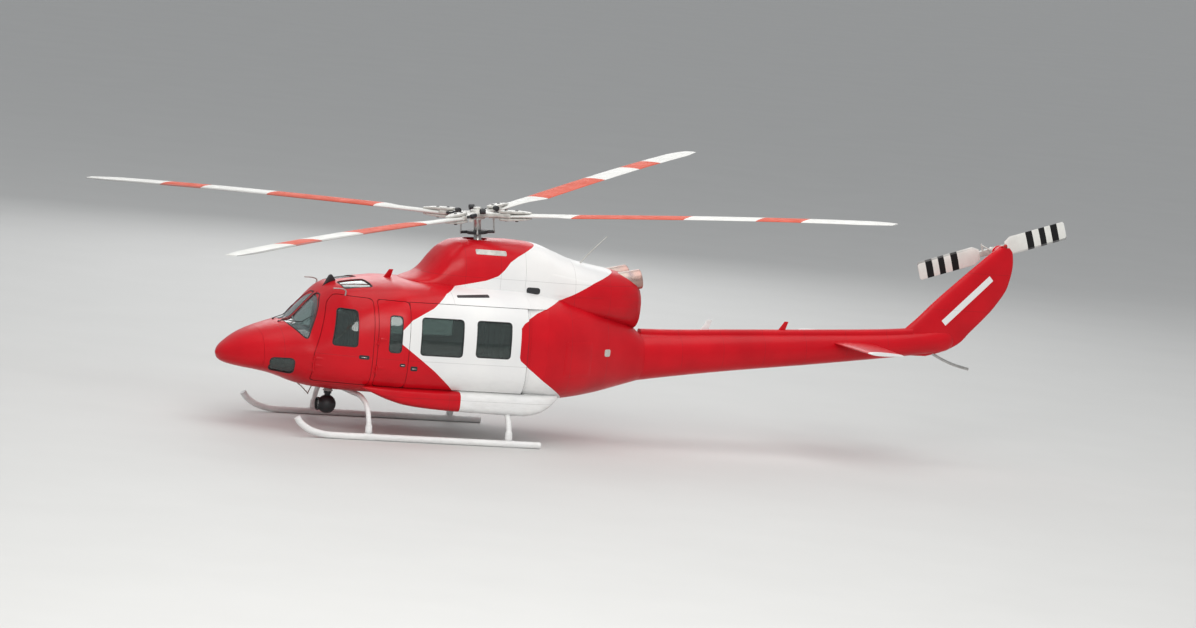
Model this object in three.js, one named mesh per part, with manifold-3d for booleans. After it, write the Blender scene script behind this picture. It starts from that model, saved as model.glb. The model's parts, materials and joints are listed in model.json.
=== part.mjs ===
// A twin-engined medium helicopter on high skids, with a four-blade main rotor and a two-blade tail rotor.
// Millimetres. +X points to the nose, +Y to the left side, +Z up, and z = 0 is the ground under the skids.
// Lengths along the body are measured from the rotor mast, and the whole group is moved by MAST_X at the end.
import * as THREE from "three";
import { mergeVertices } from "three/addons/utils/BufferGeometryUtils.js";
import Module from "manifold-3d";

const wasm = await Module();
wasm.setup();

// Driving dimensions
const MAST_X = 2374; // mast in the part's frame, so that the frame's origin is the middle of the whole box
const GAP = 0.3; // clearance between pieces that touch
const DOOR_GAP = 8; // gap around a door
const SKIN = 50; // cabin wall
const DOOR_THICK = 42;
const RECESS = 48; // depth of the seat that a door lies in
const GLASS = 8;
const HAIR = 0.6; // a pane's clearance in its opening
const PANE_DEPTH = 14;
const FLOOR_Z = 790;
const DECK = 8; // height of the cabin's floor panel over the floor
const OUT = 1700; // beyond the widest side
const LONGEST_STEP = 900; // between a body's sections
const ROTOR_RADIUS = 7010;
const HUB_Z = 3360;
const MAST_TILT = THREE.MathUtils.degToRad(6.6); // forwards
const BLADE_AZIMUTH = THREE.MathUtils.degToRad(41.5); // first blade, from the nose towards the left side
const TAIL_X = -8850;
const TAIL_Z = 3285;
const TAIL_RADIUS = 1295;
const TAIL_BLADE_TILT = THREE.MathUtils.degToRad(18);
const RING = 36; // points round a body section

const COLOURS = {
  red: { color: 0xc4101c, roughness: 0.3, metalness: 0.0 },
  white: { color: 0xf0f0ee, roughness: 0.32, metalness: 0.0 },
  glass: { color: 0x22302e, roughness: 0.08, metalness: 0.0 },
  grey: { color: 0x8b8f92, roughness: 0.5, metalness: 0.6 },
  dark: { color: 0x1b1c1e, roughness: 0.6, metalness: 0.1 },
  steel: { color: 0xa9a49c, roughness: 0.35, metalness: 0.9 },
  trim: { color: 0x3a3d42, roughness: 0.8, metalness: 0.0 },
};

const craft = new THREE.Group();
craft.position.x = MAST_X;

// Solids and meshes
function solidOf(geometry) {
  const bare = geometry.clone();
  bare.deleteAttribute("normal");
  bare.deleteAttribute("uv");
  const merged = mergeVertices(bare, 1e-3);
  const made = new wasm.Manifold(
    new wasm.Mesh({
      numProp: 3,
      vertProperties: merged.attributes.position.array,
      triVerts: new Uint32Array(merged.index.array),
    }),
  );
  return made;
}

function geometryOf(solid) {
  const raw = solid.getMesh();
  const geometry = new THREE.BufferGeometry();
  const places = new THREE.BufferAttribute(new Float32Array(raw.vertProperties), raw.numProp);
  geometry.setAttribute("position", places);
  geometry.setIndex(new THREE.BufferAttribute(new Uint32Array(raw.triVerts), 1));
  geometry.computeVertexNormals();
  return geometry;
}

function add(name, solid, finish, parent = craft) {
  const material = new THREE.MeshStandardMaterial(COLOURS[finish]);
  const mesh = new THREE.Mesh(solid.isBufferGeometry ? solid : geometryOf(solid), material);
  mesh.name = name;
  parent.add(mesh);
  return mesh;
}

function mirrored(solid) {
  return solid.mirror([0, 1, 0]);
}

// A piece on the left side and its mirror image on the right.
function addPair(name, solid, finish) {
  add(name + "_left", solid, finish);
  add(name + "_right", mirrored(solid), finish);
}

const union = (...solids) => solids.reduce((whole, one) => whole.add(one));

// Shape helpers
function box(x0, x1, y0, y1, z0, z1) {
  const geometry = new THREE.BoxGeometry(x1 - x0, y1 - y0, z1 - z0);
  geometry.translate((x0 + x1) / 2, (y0 + y1) / 2, (z0 + z1) / 2);
  return solidOf(geometry);
}

// Moves each edge of an outline outwards by grow; the outline runs anticlockwise.
function grown(outline, grow) {
  const n = outline.length;
  return outline.map((p, i) => {
    const before = outline[(i + n - 1) % n];
    const after = outline[(i + 1) % n];
    const edges = [[before, p], [p, after]].map(([a, b]) => {
      const length = Math.hypot(b[0] - a[0], b[1] - a[1]);
      return { nx: (b[1] - a[1]) / length, ny: -(b[0] - a[0]) / length };
    });
    const dot = edges[0].nx * edges[1].nx + edges[0].ny * edges[1].ny;
    const scale = grow / (1 + dot);
    return [p[0] + scale * (edges[0].nx + edges[1].nx), p[1] + scale * (edges[0].ny + edges[1].ny)];
  });
}

// An outline with its corners rounded to a radius.
function rounded(outline, radius) {
  const shape = new THREE.Shape();
  const n = outline.length;
  outline.forEach((p, i) => {
    const before = outline[(i + n - 1) % n];
    const after = outline[(i + 1) % n];
    const towards = (q) => {
      const length = Math.hypot(q[0] - p[0], q[1] - p[1]);
      const cut = Math.min(radius, length * 0.45);
      return [p[0] + ((q[0] - p[0]) * cut) / length, p[1] + ((q[1] - p[1]) * cut) / length];
    };
    const start = towards(before);
    const end = towards(after);
    if (i === 0) shape.moveTo(...start);
    else shape.lineTo(...start);
    shape.quadraticCurveTo(p[0], p[1], end[0], end[1]);
  });
  shape.closePath();
  return shape;
}

const AXES = {
  // shape's x, shape's y and the way it is pushed, in the part's axes
  side: [[1, 0, 0], [0, 0, 1], [0, -1, 0]],
  front: [[0, 1, 0], [0, 0, 1], [1, 0, 0]],
  plan: [[1, 0, 0], [0, 1, 0], [0, 0, 1]],
};

// Pushes an outline in a view from one depth to another along that view's axis.
function prism(view, outline, from, to, radius = 0) {
  const corners = outline.map((p) => new THREE.Vector2(...p));
  const shape = radius ? rounded(outline, radius) : new THREE.Shape(corners);
  const settings = { depth: to - from, bevelEnabled: false, curveSegments: 3 };
  const geometry = new THREE.ExtrudeGeometry(shape, settings);
  const [u, v, w] = AXES[view].map((a) => new THREE.Vector3(...a));
  geometry.applyMatrix4(new THREE.Matrix4().makeBasis(u, v, w));
  const shift = w.clone().multiplyScalar(view === "side" ? -to : from);
  geometry.translate(shift.x, shift.y, shift.z);
  return solidOf(geometry);
}

function cylinder(from, to, radius, endRadius = radius, sides = 20) {
  const a = new THREE.Vector3(...from);
  const b = new THREE.Vector3(...to);
  const geometry = new THREE.CylinderGeometry(endRadius, radius, a.distanceTo(b), sides);
  geometry.applyQuaternion(
    new THREE.Quaternion().setFromUnitVectors(new THREE.Vector3(0, 1, 0), b.clone().sub(a).normalize()),
  );
  const middle = a.clone().add(b).multiplyScalar(0.5);
  geometry.translate(middle.x, middle.y, middle.z);
  return solidOf(geometry);
}

// Joins rings of points into a closed body, with a fan over each end. In a ring that starts at the left
// side, the right half is split the other way round, so that both halves are mirror images.
function loft(rings, even = false) {
  const around = rings[0].length;
  const points = rings.flat();
  const faces = [];
  for (let i = 0; i + 1 < rings.length; i++)
    for (let j = 0; j < around; j++) {
      const a = i * around + j;
      const b = i * around + ((j + 1) % around);
      const right = even && j >= around / 4 && j < (3 * around) / 4;
      if (right) faces.push([a, b, a + around], [b, b + around, a + around]);
      else faces.push([a, b, b + around], [a, b + around, a + around]);
    }
  [0, rings.length - 1].forEach((end) => {
    const middle = points.length;
    const centre = new THREE.Vector3();
    rings[end].forEach((p) => centre.add(p));
    points.push(centre.multiplyScalar(1 / around));
    for (let j = 0; j < around; j++) {
      const a = end * around + j;
      const b = end * around + ((j + 1) % around);
      faces.push(end ? [a, b, middle] : [b, a, middle]);
    }
  });
  const geometry = new THREE.BufferGeometry();
  const places = new Float32Array(points.flatMap((p) => p.toArray()));
  geometry.setAttribute("position", new THREE.BufferAttribute(places, 3));
  geometry.setIndex(faces.flat());
  const made = solidOf(geometry);
  if (made.volume() > 0) return made;
  geometry.setIndex(faces.map((f) => [f[0], f[2], f[1]]).flat());
  return solidOf(geometry);
}

// A tube of round section along a curve.
function tube(points, radius, steps, sides = 12) {
  const section = new THREE.Shape();
  for (let i = 0; i < sides; i++) {
    const a = (2 * Math.PI * i) / sides;
    if (i) section.lineTo(radius * Math.cos(a), radius * Math.sin(a));
    else section.moveTo(radius, 0);
  }
  section.closePath();
  const places = points.map((p) => new THREE.Vector3(...p));
  const extrudePath = new THREE.CatmullRomCurve3(places, false, "centripetal");
  return solidOf(new THREE.ExtrudeGeometry(section, { steps, extrudePath }));
}

// A smooth value between the rows of a table, by monotone cubics in the table's first column.
function interpolate(rows, key, x) {
  let i = rows.findIndex((r) => r.x <= x);
  if (i < 0) i = rows.length - 1;
  if (i === 0) i = 1;
  const slope = (k) => (rows[k + 1][key] - rows[k][key]) / (rows[k + 1].x - rows[k].x);
  const tangent = (k) => {
    if (k === 0 || k === rows.length - 1) return slope(k === 0 ? 0 : k - 1);
    const a = slope(k - 1);
    const b = slope(k);
    return a * b <= 0 ? 0 : (2 * a * b) / (a + b);
  };
  const h = rows[i].x - rows[i - 1].x;
  const t = (x - rows[i - 1].x) / h;
  const [p, q, a, b] = [rows[i - 1][key], rows[i][key], tangent(i - 1) * h, tangent(i) * h];
  return (
    p * (2 * t ** 3 - 3 * t ** 2 + 1) +
    a * (t ** 3 - 2 * t ** 2 + t) +
    q * (3 * t ** 2 - 2 * t ** 3) +
    b * (t ** 3 - t ** 2)
  );
}

function table(columns, rows) {
  return rows.map((r) => Object.fromEntries(columns.map((c, i) => [c, r[i]])));
}

// A body section: a superellipse with its own curve above and below the widest height.
// Its sides lie further back than its middle by the sweep.
function section(rows, x, inset = 0) {
  const value = (key) => interpolate(rows, key, x);
  const sweep = value("sweep");
  const half = value("half") - inset;
  const [low, high, wide] = [value("low") + inset, value("high") - inset, value("wide")];
  const ring = [];
  for (let i = 0; i < RING; i++) {
    const a = (2 * Math.PI * i) / RING;
    const [c, s] = [Math.cos(a), Math.sin(a)];
    const power = 2 / (s >= 0 ? value("over") : value("under"));
    const y = half * Math.sign(c) * Math.abs(c) ** power;
    const z = wide + (s >= 0 ? high - wide : wide - low) * Math.sign(s) * Math.abs(s) ** power;
    ring.push(new THREE.Vector3(x - sweep * (y / half) ** 2, y, z));
  }
  return ring;
}

// A body through every row of its table, cut square where a range is given.
function body(rows, inset = 0, from = 1e5, to = -1e5) {
  const ends = [rows[0].x, rows[rows.length - 1].x];
  const stations = [];
  rows.forEach((r, i) => {
    if (i && rows[i - 1].x - r.x > LONGEST_STEP && r.smooth !== 0) stations.push((rows[i - 1].x + r.x) / 2);
    stations.push(r.x);
  });
  const made = loft(stations.map((x) => section(rows, x, inset)), true);
  if (from >= ends[0] && to <= ends[1]) return made;
  return made.intersect(box(to, from, -OUT, OUT, -10, 4000));
}

// Body sections. x along the body from the mast, half width, lowest, highest and widest height,
// the roundness over and under the widest height, and how far the sides are swept back.
const COLUMNS = ["x", "half", "low", "high", "wide", "over", "under", "sweep"];
const HULL = table(COLUMNS, [
  [3930, 60, 1000, 1075, 1040, 2.0, 2.0, 0],
  [3890, 185, 935, 1140, 1040, 2.1, 2.1, 15],
  [3790, 340, 890, 1228, 1040, 2.2, 2.2, 40],
  [3620, 510, 858, 1345, 1045, 2.3, 2.4, 70],
  [3400, 665, 832, 1448, 1055, 2.4, 2.5, 100],
  [3200, 780, 800, 1520, 1070, 2.4, 2.6, 120],
  [2950, 905, 735, 1595, 1095, 2.5, 2.8, 140],
  [2830, 955, 695, 1630, 1108, 2.5, 2.9, 150],
  [2740, 990, 672, 1722, 1120, 2.5, 2.9, 150],
  [2600, 1040, 648, 1882, 1140, 2.5, 3.0, 145],
  [2450, 1085, 634, 2040, 1165, 2.6, 3.0, 120],
  [2320, 1118, 626, 2150, 1185, 2.7, 3.1, 90],
  [2180, 1150, 621, 2215, 1205, 2.8, 3.2, 55],
  [1900, 1213, 620, 2268, 1230, 3.0, 3.3, 0],
  [1600, 1275, 620, 2300, 1245, 3.2, 3.4, 0],
  [1340, 1310, 620, 2322, 1250, 3.4, 3.4, 0],
  [-540, 1310, 620, 2322, 1250, 3.4, 3.4, 0],
  [-1000, 1230, 632, 2300, 1260, 3.2, 3.3, 0],
  [-1500, 1050, 680, 2240, 1280, 3.0, 3.1, 0],
  [-2000, 790, 762, 2130, 1300, 2.8, 2.9, 0],
  [-2400, 570, 858, 1980, 1315, 2.6, 2.7, 0],
  [-2800, 400, 968, 1700, 1330, 2.4, 2.5, 0],
]);
const NOSE_SPLIT = 3370;
const NOSE_BACK = 2765;
const POST_FRONT = 1980;
const AFT_BULKHEAD = -600;
const AFT_WALL = 80; // of the rear fuselage, round its hold
const hull = (inset, from, to) => body(HULL, inset, from, to);
const CABIN_SECTION = HULL.find((r) => r.x === 1340);

const BOOM = table(COLUMNS, [
  [-2800, 400, 968, 1700, 1330, 2.4, 2.5, 0],
  [-3300, 352, 1045, 1715, 1370, 2.3, 2.4, 0],
  [-4300, 292, 1185, 1770, 1465, 2.2, 2.3, 0],
  [-5700, 238, 1360, 1845, 1590, 2.2, 2.2, 0],
  [-7000, 192, 1535, 1925, 1720, 2.1, 2.1, 0],
  [-7500, 168, 1608, 1975, 1785, 2.1, 2.1, 0],
  [-7900, 120, 1670, 2020, 1845, 2.0, 2.0, 0],
]);
const BOOM_START = -2800;
const BOOM_WALL = 40;

const COWL = table(COLUMNS, [
  [1000, 400, 2240, 2380, 2320, 2.2, 2.2, 0],
  [860, 450, 2200, 2455, 2300, 2.3, 2.4, 0],
  [740, 495, 2160, 2570, 2290, 2.4, 2.5, 0],
  [620, 530, 2130, 2740, 2280, 2.6, 2.8, 0],
  [500, 555, 2100, 2865, 2270, 2.8, 3.0, 0],
  [300, 590, 2060, 2962, 2260, 3.0, 3.0, 0],
  [0, 615, 2040, 2994, 2255, 3.0, 3.0, 0],
  [-500, 660, 2000, 3004, 2250, 3.0, 3.0, 0],
  [-940, 715, 1980, 2978, 2240, 3.0, 3.0, 0],
  [-1200, 750, 1950, 2894, 2230, 3.0, 3.0, 0],
  [-1500, 770, 1900, 2790, 2220, 3.0, 3.0, 0],
  [-1900, 740, 1870, 2705, 2210, 2.9, 2.9, 0],
  [-2300, 640, 1830, 2640, 2200, 2.8, 2.8, 0],
  [-2540, 530, 1790, 2570, 2180, 2.6, 2.6, 0],
  [-2640, 430, 1770, 2470, 2120, 2.5, 2.5, 0],
]);
const PYLON_SPLIT = -640;
const COWL_WALL = 30;

// Openings and panels, as outlines in the side view: [x, z], anticlockwise.
const SILL = FLOOR_Z + GAP + DOOR_GAP;
const LINTEL = 2075;
const CREW_DOOR = [[1880, SILL], [2700, SILL], [2700, 1210], [2455, 1940], [2340, LINTEL], [1880, LINTEL]];
const CREW_WINDOW = [[2105, 1362], [2465, 1362], [2365, 1900], [2105, 1900]];
const PANEL_DOOR = [[1350, SILL], [1812, SILL], [1812, LINTEL], [1350, LINTEL]];
const PANEL_WINDOW = [[1465, 1325], [1650, 1325], [1650, 1870], [1465, 1870]];
const SLIDING_DOOR = [[-540, SILL], [1342, SILL], [1342, LINTEL], [-540, LINTEL]];
const SLIDING_WINDOWS = [
  [[500, 1315], [1165, 1315], [1165, 1870], [500, 1870]],
  [[-265, 1330], [285, 1330], [285, 1870], [-265, 1870]],
];
const CHIN_WINDOW = [[2950, 855], [3290, 885], [3290, 1080], [2960, 1100]];
const WINDSCREEN = [
  [2785, 1385],
  [3000, 1600],
  [3000, 2300],
  [2445, 2300],
  [2445, 2030],
  [2490, 1985],
];
const ROOF_WINDOW = [[1790, 130], [2190, 120], [2190, 560], [1790, 680]]; // in the plan view: [x, y]
const CENTRE_POST = 34; // half width of the post between the windscreens
const SIDE_IN = 300; // how far in a side cut reaches
const DOOR_IN = 500; // and a door
const CORNER = 60; // radius of the corners of doors and windows
const ROOF_SPLIT = 2050; // height where the roof panel starts
const TOP = 3000; // over the cabin
const DECK_OUTLINE = [[80, -1000], [1560, -1000], [1560, 1000], [80, 1000]]; // in the plan view
const DECK_CORNER = 40;
const TRAVEL = 1800; // of a sliding door

const cutSide = (outline, radius = CORNER, inner = SIDE_IN) => prism("side", outline, inner, OUT, radius);
const both = (solid) => solid.add(mirrored(solid));

// The cabin's inside: the body less its walls, over the floor.
function cavity() {
  const space = union(
    box(AFT_BULKHEAD + 60, NOSE_BACK, -OUT, OUT, FLOOR_Z, TOP),
    box(NOSE_BACK - 10, NOSE_SPLIT - 40, -OUT, OUT, FLOOR_Z, TOP),
  );
  return hull(SKIN).intersect(space);
}

// The way of a sliding door along the rear of the body.
function doorPath() {
  const rear = SLIDING_DOOR[0][0];
  const rows = [SLIDING_DOOR[1][0], rear - TRAVEL - 60].map((x) => ({ ...CABIN_SECTION, x }));
  const lane = box(rear - TRAVEL - 40, rear - 1, SIDE_IN, OUT, SILL - DOOR_GAP, LINTEL + DOOR_GAP);
  return both(lane.subtract(body(rows, RECESS)));
}

// The skin, split where the real panels meet.
function cabin(path) {
  const doorway = (outline) => cutSide(grown(outline, DOOR_GAP), CORNER, DOOR_IN - DOOR_GAP);
  const doorways = [CREW_DOOR, PANEL_DOOR].map((outline) => both(doorway(outline)));
  doorways.push(both(cutSide(grown(SLIDING_DOOR, DOOR_GAP), 0)));
  const screens = both(prism("side", WINDSCREEN, CENTRE_POST, OUT, 50));
  const roofPanes = both(prism("plan", ROOF_WINDOW, 2000, 2600, CORNER));
  const chins = both(cutSide(CHIN_WINDOW, 70, 250));
  const cuts = [cavity(), ...doorways, screens, roofPanes, chins, path];
  const skin = cuts.reduce((left, cut) => left.subtract(cut), hull(0, NOSE_SPLIT, AFT_BULKHEAD));
  const part = (x0, x1, z0, z1) => skin.intersect(box(x0, x1, -OUT, OUT, z0, z1));
  const foot = FLOOR_Z + 2 * GAP; // of what stands on the floor, just over the doorways' lower edges
  const deck = prism("plan", DECK_OUTLINE, FLOOR_Z - 1, FLOOR_Z + DECK, DECK_CORNER);
  add("cabin_floor", part(AFT_BULKHEAD, NOSE_BACK - GAP, 0, FLOOR_Z).add(deck), "red");
  const nose = part(NOSE_BACK, NOSE_SPLIT, 0, TOP);
  const posts = part(POST_FRONT + GAP, NOSE_BACK + 1, foot, TOP);
  add("nose_section", union(nose, posts, ...hinges(CREW_HINGE, 1)), "red");
  add("aft_bulkhead", part(AFT_BULKHEAD, -300, foot, ROOF_SPLIT - GAP), "trim");
  const roof = part(AFT_BULKHEAD, POST_FRONT, ROOF_SPLIT, TOP);
  const pillars = part(1700, POST_FRONT, foot, ROOF_SPLIT + 1);
  add("cabin_roof", union(roof, pillars, ...hinges(PANEL_HINGE, 1)), "red");
}

// Outer hinges: stacked knuckles on an upright axis, one on the door and one on the frame, each with a
// strap that lies on its own panel. end is -1 for the door's side of the axis and 1 for the frame's.
const KNUCKLE = 13; // radius
const CREW_HINGE = { x: 2704, y: 966, heights: [1000, 1112] };
const PANEL_HINGE = { x: 1816, y: 1252, heights: [1050, 1480] };
const SWING_GAP = 5; // between the hinged panel's swing and the sliding door

function hinges({ x, y, heights }, end) {
  return heights.flatMap((z) => {
    const [low, high] = end < 0 ? [z + GAP, z + 56] : [z - 56, z];
    const knuckle = cylinder([x, y, low], [x, y, high], KNUCKLE, KNUCKLE, 12);
    const strap = box(...(end < 0 ? [x - 95, x] : [x, x + 50]), y - 60, y + 5, low, high);
    const one = union(knuckle, strap.subtract(hull(SKIN - 12)));
    return end < 0 ? [one] : [one, mirrored(one)];
  });
}

// What the hinged panel's inner rear edge loses so that it swings past the sliding door: all that
// lies inside its axis and further back than an arc round it.
function swingCut() {
  const { x, y } = PANEL_HINGE;
  const door = SLIDING_DOOR[1][0];
  const reach = x - door - SWING_GAP;
  const arc = cylinder([x, y, 0], [x, y, TOP], reach, reach, 45);
  return box(door - 10, x - reach / 2, y - reach, y, FLOOR_Z - 10, TOP - 10).subtract(arc);
}

// Runners that carry a sliding door on its sill and under its upper rail.
function runners() {
  const layer = hull(4).subtract(hull(DOOR_THICK - 2));
  return [-420, 1120].flatMap((x) => [
    layer.intersect(box(x, x + 110, SIDE_IN, OUT, SILL - DOOR_GAP + 0.5, SILL + 10)),
    layer.intersect(box(x, x + 110, SIDE_IN, OUT, LINTEL - 10, LINTEL + DOOR_GAP - 0.5)),
  ]);
}

// Panes: a layer inside the skin, cut a hair smaller than its opening.
function pane(cut) {
  return hull(PANE_DEPTH).subtract(hull(PANE_DEPTH + GLASS)).intersect(cut);
}

function door(name, outline, windows, fittings, radius = CORNER, trims = []) {
  const panel = hull(0).intersect(cutSide(outline, radius, DOOR_IN)).subtract(hull(DOOR_THICK));
  const cuts = [...windows.map((w) => cutSide(w)), ...trims];
  addPair(name, union(cuts.reduce((left, cut) => left.subtract(cut), panel), ...fittings), "red");
  windows.forEach((w, i) => {
    const label = windows.length > 1 ? name + "_glass_" + (i ? "rear" : "front") : name + "_glass";
    addPair(label, pane(cutSide(grown(w, -HAIR))), "glass");
  });
}

function glazing() {
  const front = prism("side", grown(WINDSCREEN, -HAIR), CENTRE_POST + HAIR, OUT, 50);
  addPair("windscreen", pane(front), "glass");
  addPair("roof_window", pane(prism("plan", grown(ROOF_WINDOW, -HAIR), 2000, 2600, CORNER)), "glass");
  addPair("chin_window", pane(prism("side", grown(CHIN_WINDOW, -HAIR), 250, OUT, 70)), "glass");
}

function noseDoor() {
  const hollow = hull(30, 3850, NOSE_SPLIT - 10);
  add("nose_door", hull(0, 4100, NOSE_SPLIT + GAP).subtract(hollow), "red");
}

const EXHAUST = { from: [-2150, 250, 2450], to: [-2640, 300, 2560], radius: 152, wall: 14 };
const BEARING = { low: -1010, high: -600, radius: 210, bore: 66.4 };
const MAST = { radius: 65, low: -700, high: -70 };

function cowlings() {
  const below = union(hull(-GAP), body(BOOM, -GAP));
  const shell = body(COWL).subtract(body(COWL, COWL_WALL, 950, -2600));
  const outside = shell.subtract(below);
  const hole = cylinder([0, 0, 2800], [0, 0, 3200], 190, 190, 24);
  const pylon = outside.intersect(box(PYLON_SPLIT + GAP, 1300, -OUT, OUT, 1900, 3200));
  add("pylon_fairing", pylon.subtract(hole), "red");
  const pipe = (radius, over) => {
    const { from, to } = EXHAUST;
    const [a, b] = [0, 1].map((end) => from.map((v, i) => v + (to[i] - v) * (end ? 1 + over : -over)));
    return cylinder(a, b, radius, radius, 24);
  };
  const engine = outside.intersect(box(-3000, PYLON_SPLIT, -OUT, OUT, 1700, 3200));
  add("engine_cowling", engine.subtract(both(pipe(EXHAUST.radius, 0.3))), "white");
  const inside = pipe(EXHAUST.radius - EXHAUST.wall, 0.1);
  addPair("exhaust", pipe(EXHAUST.radius - 0.4, 0).subtract(inside), "steel");
}

// Engines and main gearbox in one plain block, with the socket that the rotor mast turns in.
function engineBlock() {
  const tilt = THREE.MathUtils.radToDeg(MAST_TILT);
  const turned = (solid) => solid.rotate([0, tilt, 0]).translate([0, 0, HUB_Z]);
  const { low, high, radius, bore } = BEARING;
  const gearbox = turned(cylinder([0, 0, low], [0, 0, high], radius, radius * 0.72, 24));
  const socket = turned(cylinder([0, 0, MAST.low - 0.5], [0, 0, 0], bore, bore, 24));
  const engines = box(-2060, -900, -420, 420, 2050, 2540);
  const drive = box(-920, 60, -190, 190, 2250, 2560);
  const whole = union(engines, drive, gearbox);
  add("engine_block", whole.subtract(hull(-GAP)).subtract(socket), "grey");
}

// Tail surfaces, as tables of sections: where, leading edge, trailing edge and half thickness.
const FIN = [
  [1600, -7200, -7700, 60],
  [1700, -7140, -8020, 85],
  [1850, -7150, -8270, 95],
  [2000, -7280, -8400, 98],
  [2200, -7490, -8590, 95],
  [2450, -7730, -8800, 90],
  [2780, -8080, -8985, 85],
  [3100, -8430, -9035, 78],
  [3300, -8660, -9010, 66],
  [3380, -8790, -8950, 50],
];
const STABILISER = [
  [100, -6020, -6760, 45],
  [1000, -6080, -6700, 38],
  [1430, -6110, -6670, 30],
];
const STABILISER_Z = 1740;

// A leaf-shaped section, full near its leading edge: pairs of how far back and how far out.
function leaf(lead, trail, thick, points) {
  const ring = [];
  for (let i = 0; i < points; i++) {
    const a = (2 * Math.PI * i) / points;
    const along = (1 - Math.cos(a)) / 2;
    ring.push([lead + (trail - lead) * along, thick * Math.sin(a) * (1 - 0.5 * along)]);
  }
  return ring;
}

function tailFin(grow = 0) {
  return loft(
    FIN.map(([z, lead, trail, thick]) =>
      leaf(lead + grow, trail - grow, thick + grow, 20).map(([x, y]) => new THREE.Vector3(x, y, z)),
    ),
  );
}

function tail() {
  const hollow = body(BOOM, BOOM_WALL, BOOM_START + 1, -6900);
  add("tail_boom", body(BOOM, 0, BOOM_START - GAP, -9000).subtract(hollow), "red");
  const boom = body(BOOM, -GAP);
  add("tail_fin", tailFin().subtract(boom), "red");
  const coverRing = (x) => {
    const base = interpolate(BOOM, "high", x) - 60;
    return [[-85, 0], [85, 0], [85, 85], [50, 120], [-50, 120], [-85, 85]].map(
      ([y, z]) => new THREE.Vector3(x, y, base + z),
    );
  };
  const cover = loft([-2830, -3300, -4300, -5700, -7000, -7400].map(coverRing));
  add("driveshaft_cover", cover.subtract(boom).subtract(tailFin(GAP)), "red");
  const wing = loft(
    STABILISER.map(([y, lead, trail, thick]) =>
      leaf(lead, trail, thick, 20).map(([x, z]) => new THREE.Vector3(x, y, STABILISER_Z + z)),
    ),
  );
  addPair("stabiliser", wing.subtract(boom), "red");
  const guard = tube([[-7650, 0, 1740], [-7850, 0, 1620], [-8150, 0, 1500], [-8450, 0, 1430]], 22, 12);
  add("tail_skid", guard.subtract(boom).subtract(tailFin(GAP)), "grey");
}

function tailRotor() {
  const gearbox = cylinder([TAIL_X, 0, TAIL_Z], [TAIL_X, -250, TAIL_Z], 120, 90, 20);
  const right = box(TAIL_X - 200, TAIL_X + 200, -300, 0, 0, 4000);
  add("tail_gearbox", gearbox.subtract(tailFin(GAP)).intersect(right), "red");
  const rotor = new THREE.Group();
  rotor.position.set(TAIL_X, -420, TAIL_Z);
  rotor.rotation.y = TAIL_BLADE_TILT;
  craft.add(rotor);
  const shaft = cylinder([0, 170 - GAP, 0], [0, -70, 0], 45, 45, 16);
  let whole = union(shaft, box(-235, 235, -35, 35, -50, 50));
  [0, 1].forEach((i) => {
    const blade = loft(
      // Radius, half thickness
      [[230, 26], [500, 22], [TAIL_RADIUS, 14]].map(([r, thick]) => {
        const ring = [];
        for (let k = 0; k < 16; k++) {
          const a = (2 * Math.PI * k) / 16;
          ring.push(new THREE.Vector3(r, thick * Math.sin(a), 146 * Math.cos(a)));
        }
        return ring;
      }),
    );
    whole = whole.add(blade.rotate([0, 180 * i, 0]));
  });
  add("tail_rotor", whole, "white", rotor);
}

function mainRotor() {
  const rotor = new THREE.Group();
  rotor.position.set(0, 0, HUB_Z);
  rotor.rotation.y = MAST_TILT;
  craft.add(rotor);
  const spin = new THREE.Group();
  spin.rotation.z = BLADE_AZIMUTH;
  rotor.add(spin);
  const mast = cylinder([0, 0, MAST.low], [0, 0, MAST.high], MAST.radius, MAST.radius, 24);
  add("rotor_mast", mast, "grey", spin);
  let hub = cylinder([0, 0, -70 + GAP], [0, 0, 110], 120, 90, 24);
  for (let i = 0; i < 4; i++) hub = hub.add(box(0, 620, -110, 110, -40, 40).rotate([0, 0, 90 * i]));
  add("rotor_hub", hub, "dark", spin);
  const bore = cylinder([0, 0, -310], [0, 0, -230], 67, 67, 16);
  let swash = cylinder([0, 0, -300], [0, 0, -240], 165, 165, 20).subtract(bore);
  for (let i = 0; i < 4; i++) {
    const a = (i * Math.PI) / 2 + 0.5;
    const at = [250 * Math.cos(a), 250 * Math.sin(a)];
    swash = swash
      .add(cylinder([...at, -290], [...at, -41], 18, 18, 8))
      .add(cylinder([0.4 * at[0], 0.4 * at[1], -270], [...at, -270], 25, 25, 8));
  }
  add("swashplate", swash, "grey", spin);
  // Radius, chord, half thickness, leading edge ahead of the pitch axis
  const sections = [
    [620 + GAP, 190, 42, 95],
    [900, 200, 38, 100],
    [1350, 250, 32, 105],
    [1800, 400, 26, 110],
    [4200, 400, 24, 110],
    [6500, 400, 22, 110],
    [6850, 300, 16, 60],
    [ROTOR_RADIUS, 220, 10, 10],
  ];
  const rise = (r) => 0.048 * (r - 620) * (1 - 0.3 * (r / ROTOR_RADIUS) ** 2);
  for (let i = 0; i < 4; i++) {
    const blade = loft(
      sections.map(([r, chord, thick, lead]) =>
        leaf(lead, lead - chord, thick, 16).map(([y, z]) => new THREE.Vector3(r, y, rise(r) + z)),
      ),
    );
    add("rotor_blade_" + (i + 1), blade, "white", spin).rotation.z = (i * Math.PI) / 2;
  }
}

const SKID_Y = 1330;
const SKID_R = 50;
const SKID_Z = 51; // of its middle line

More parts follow.
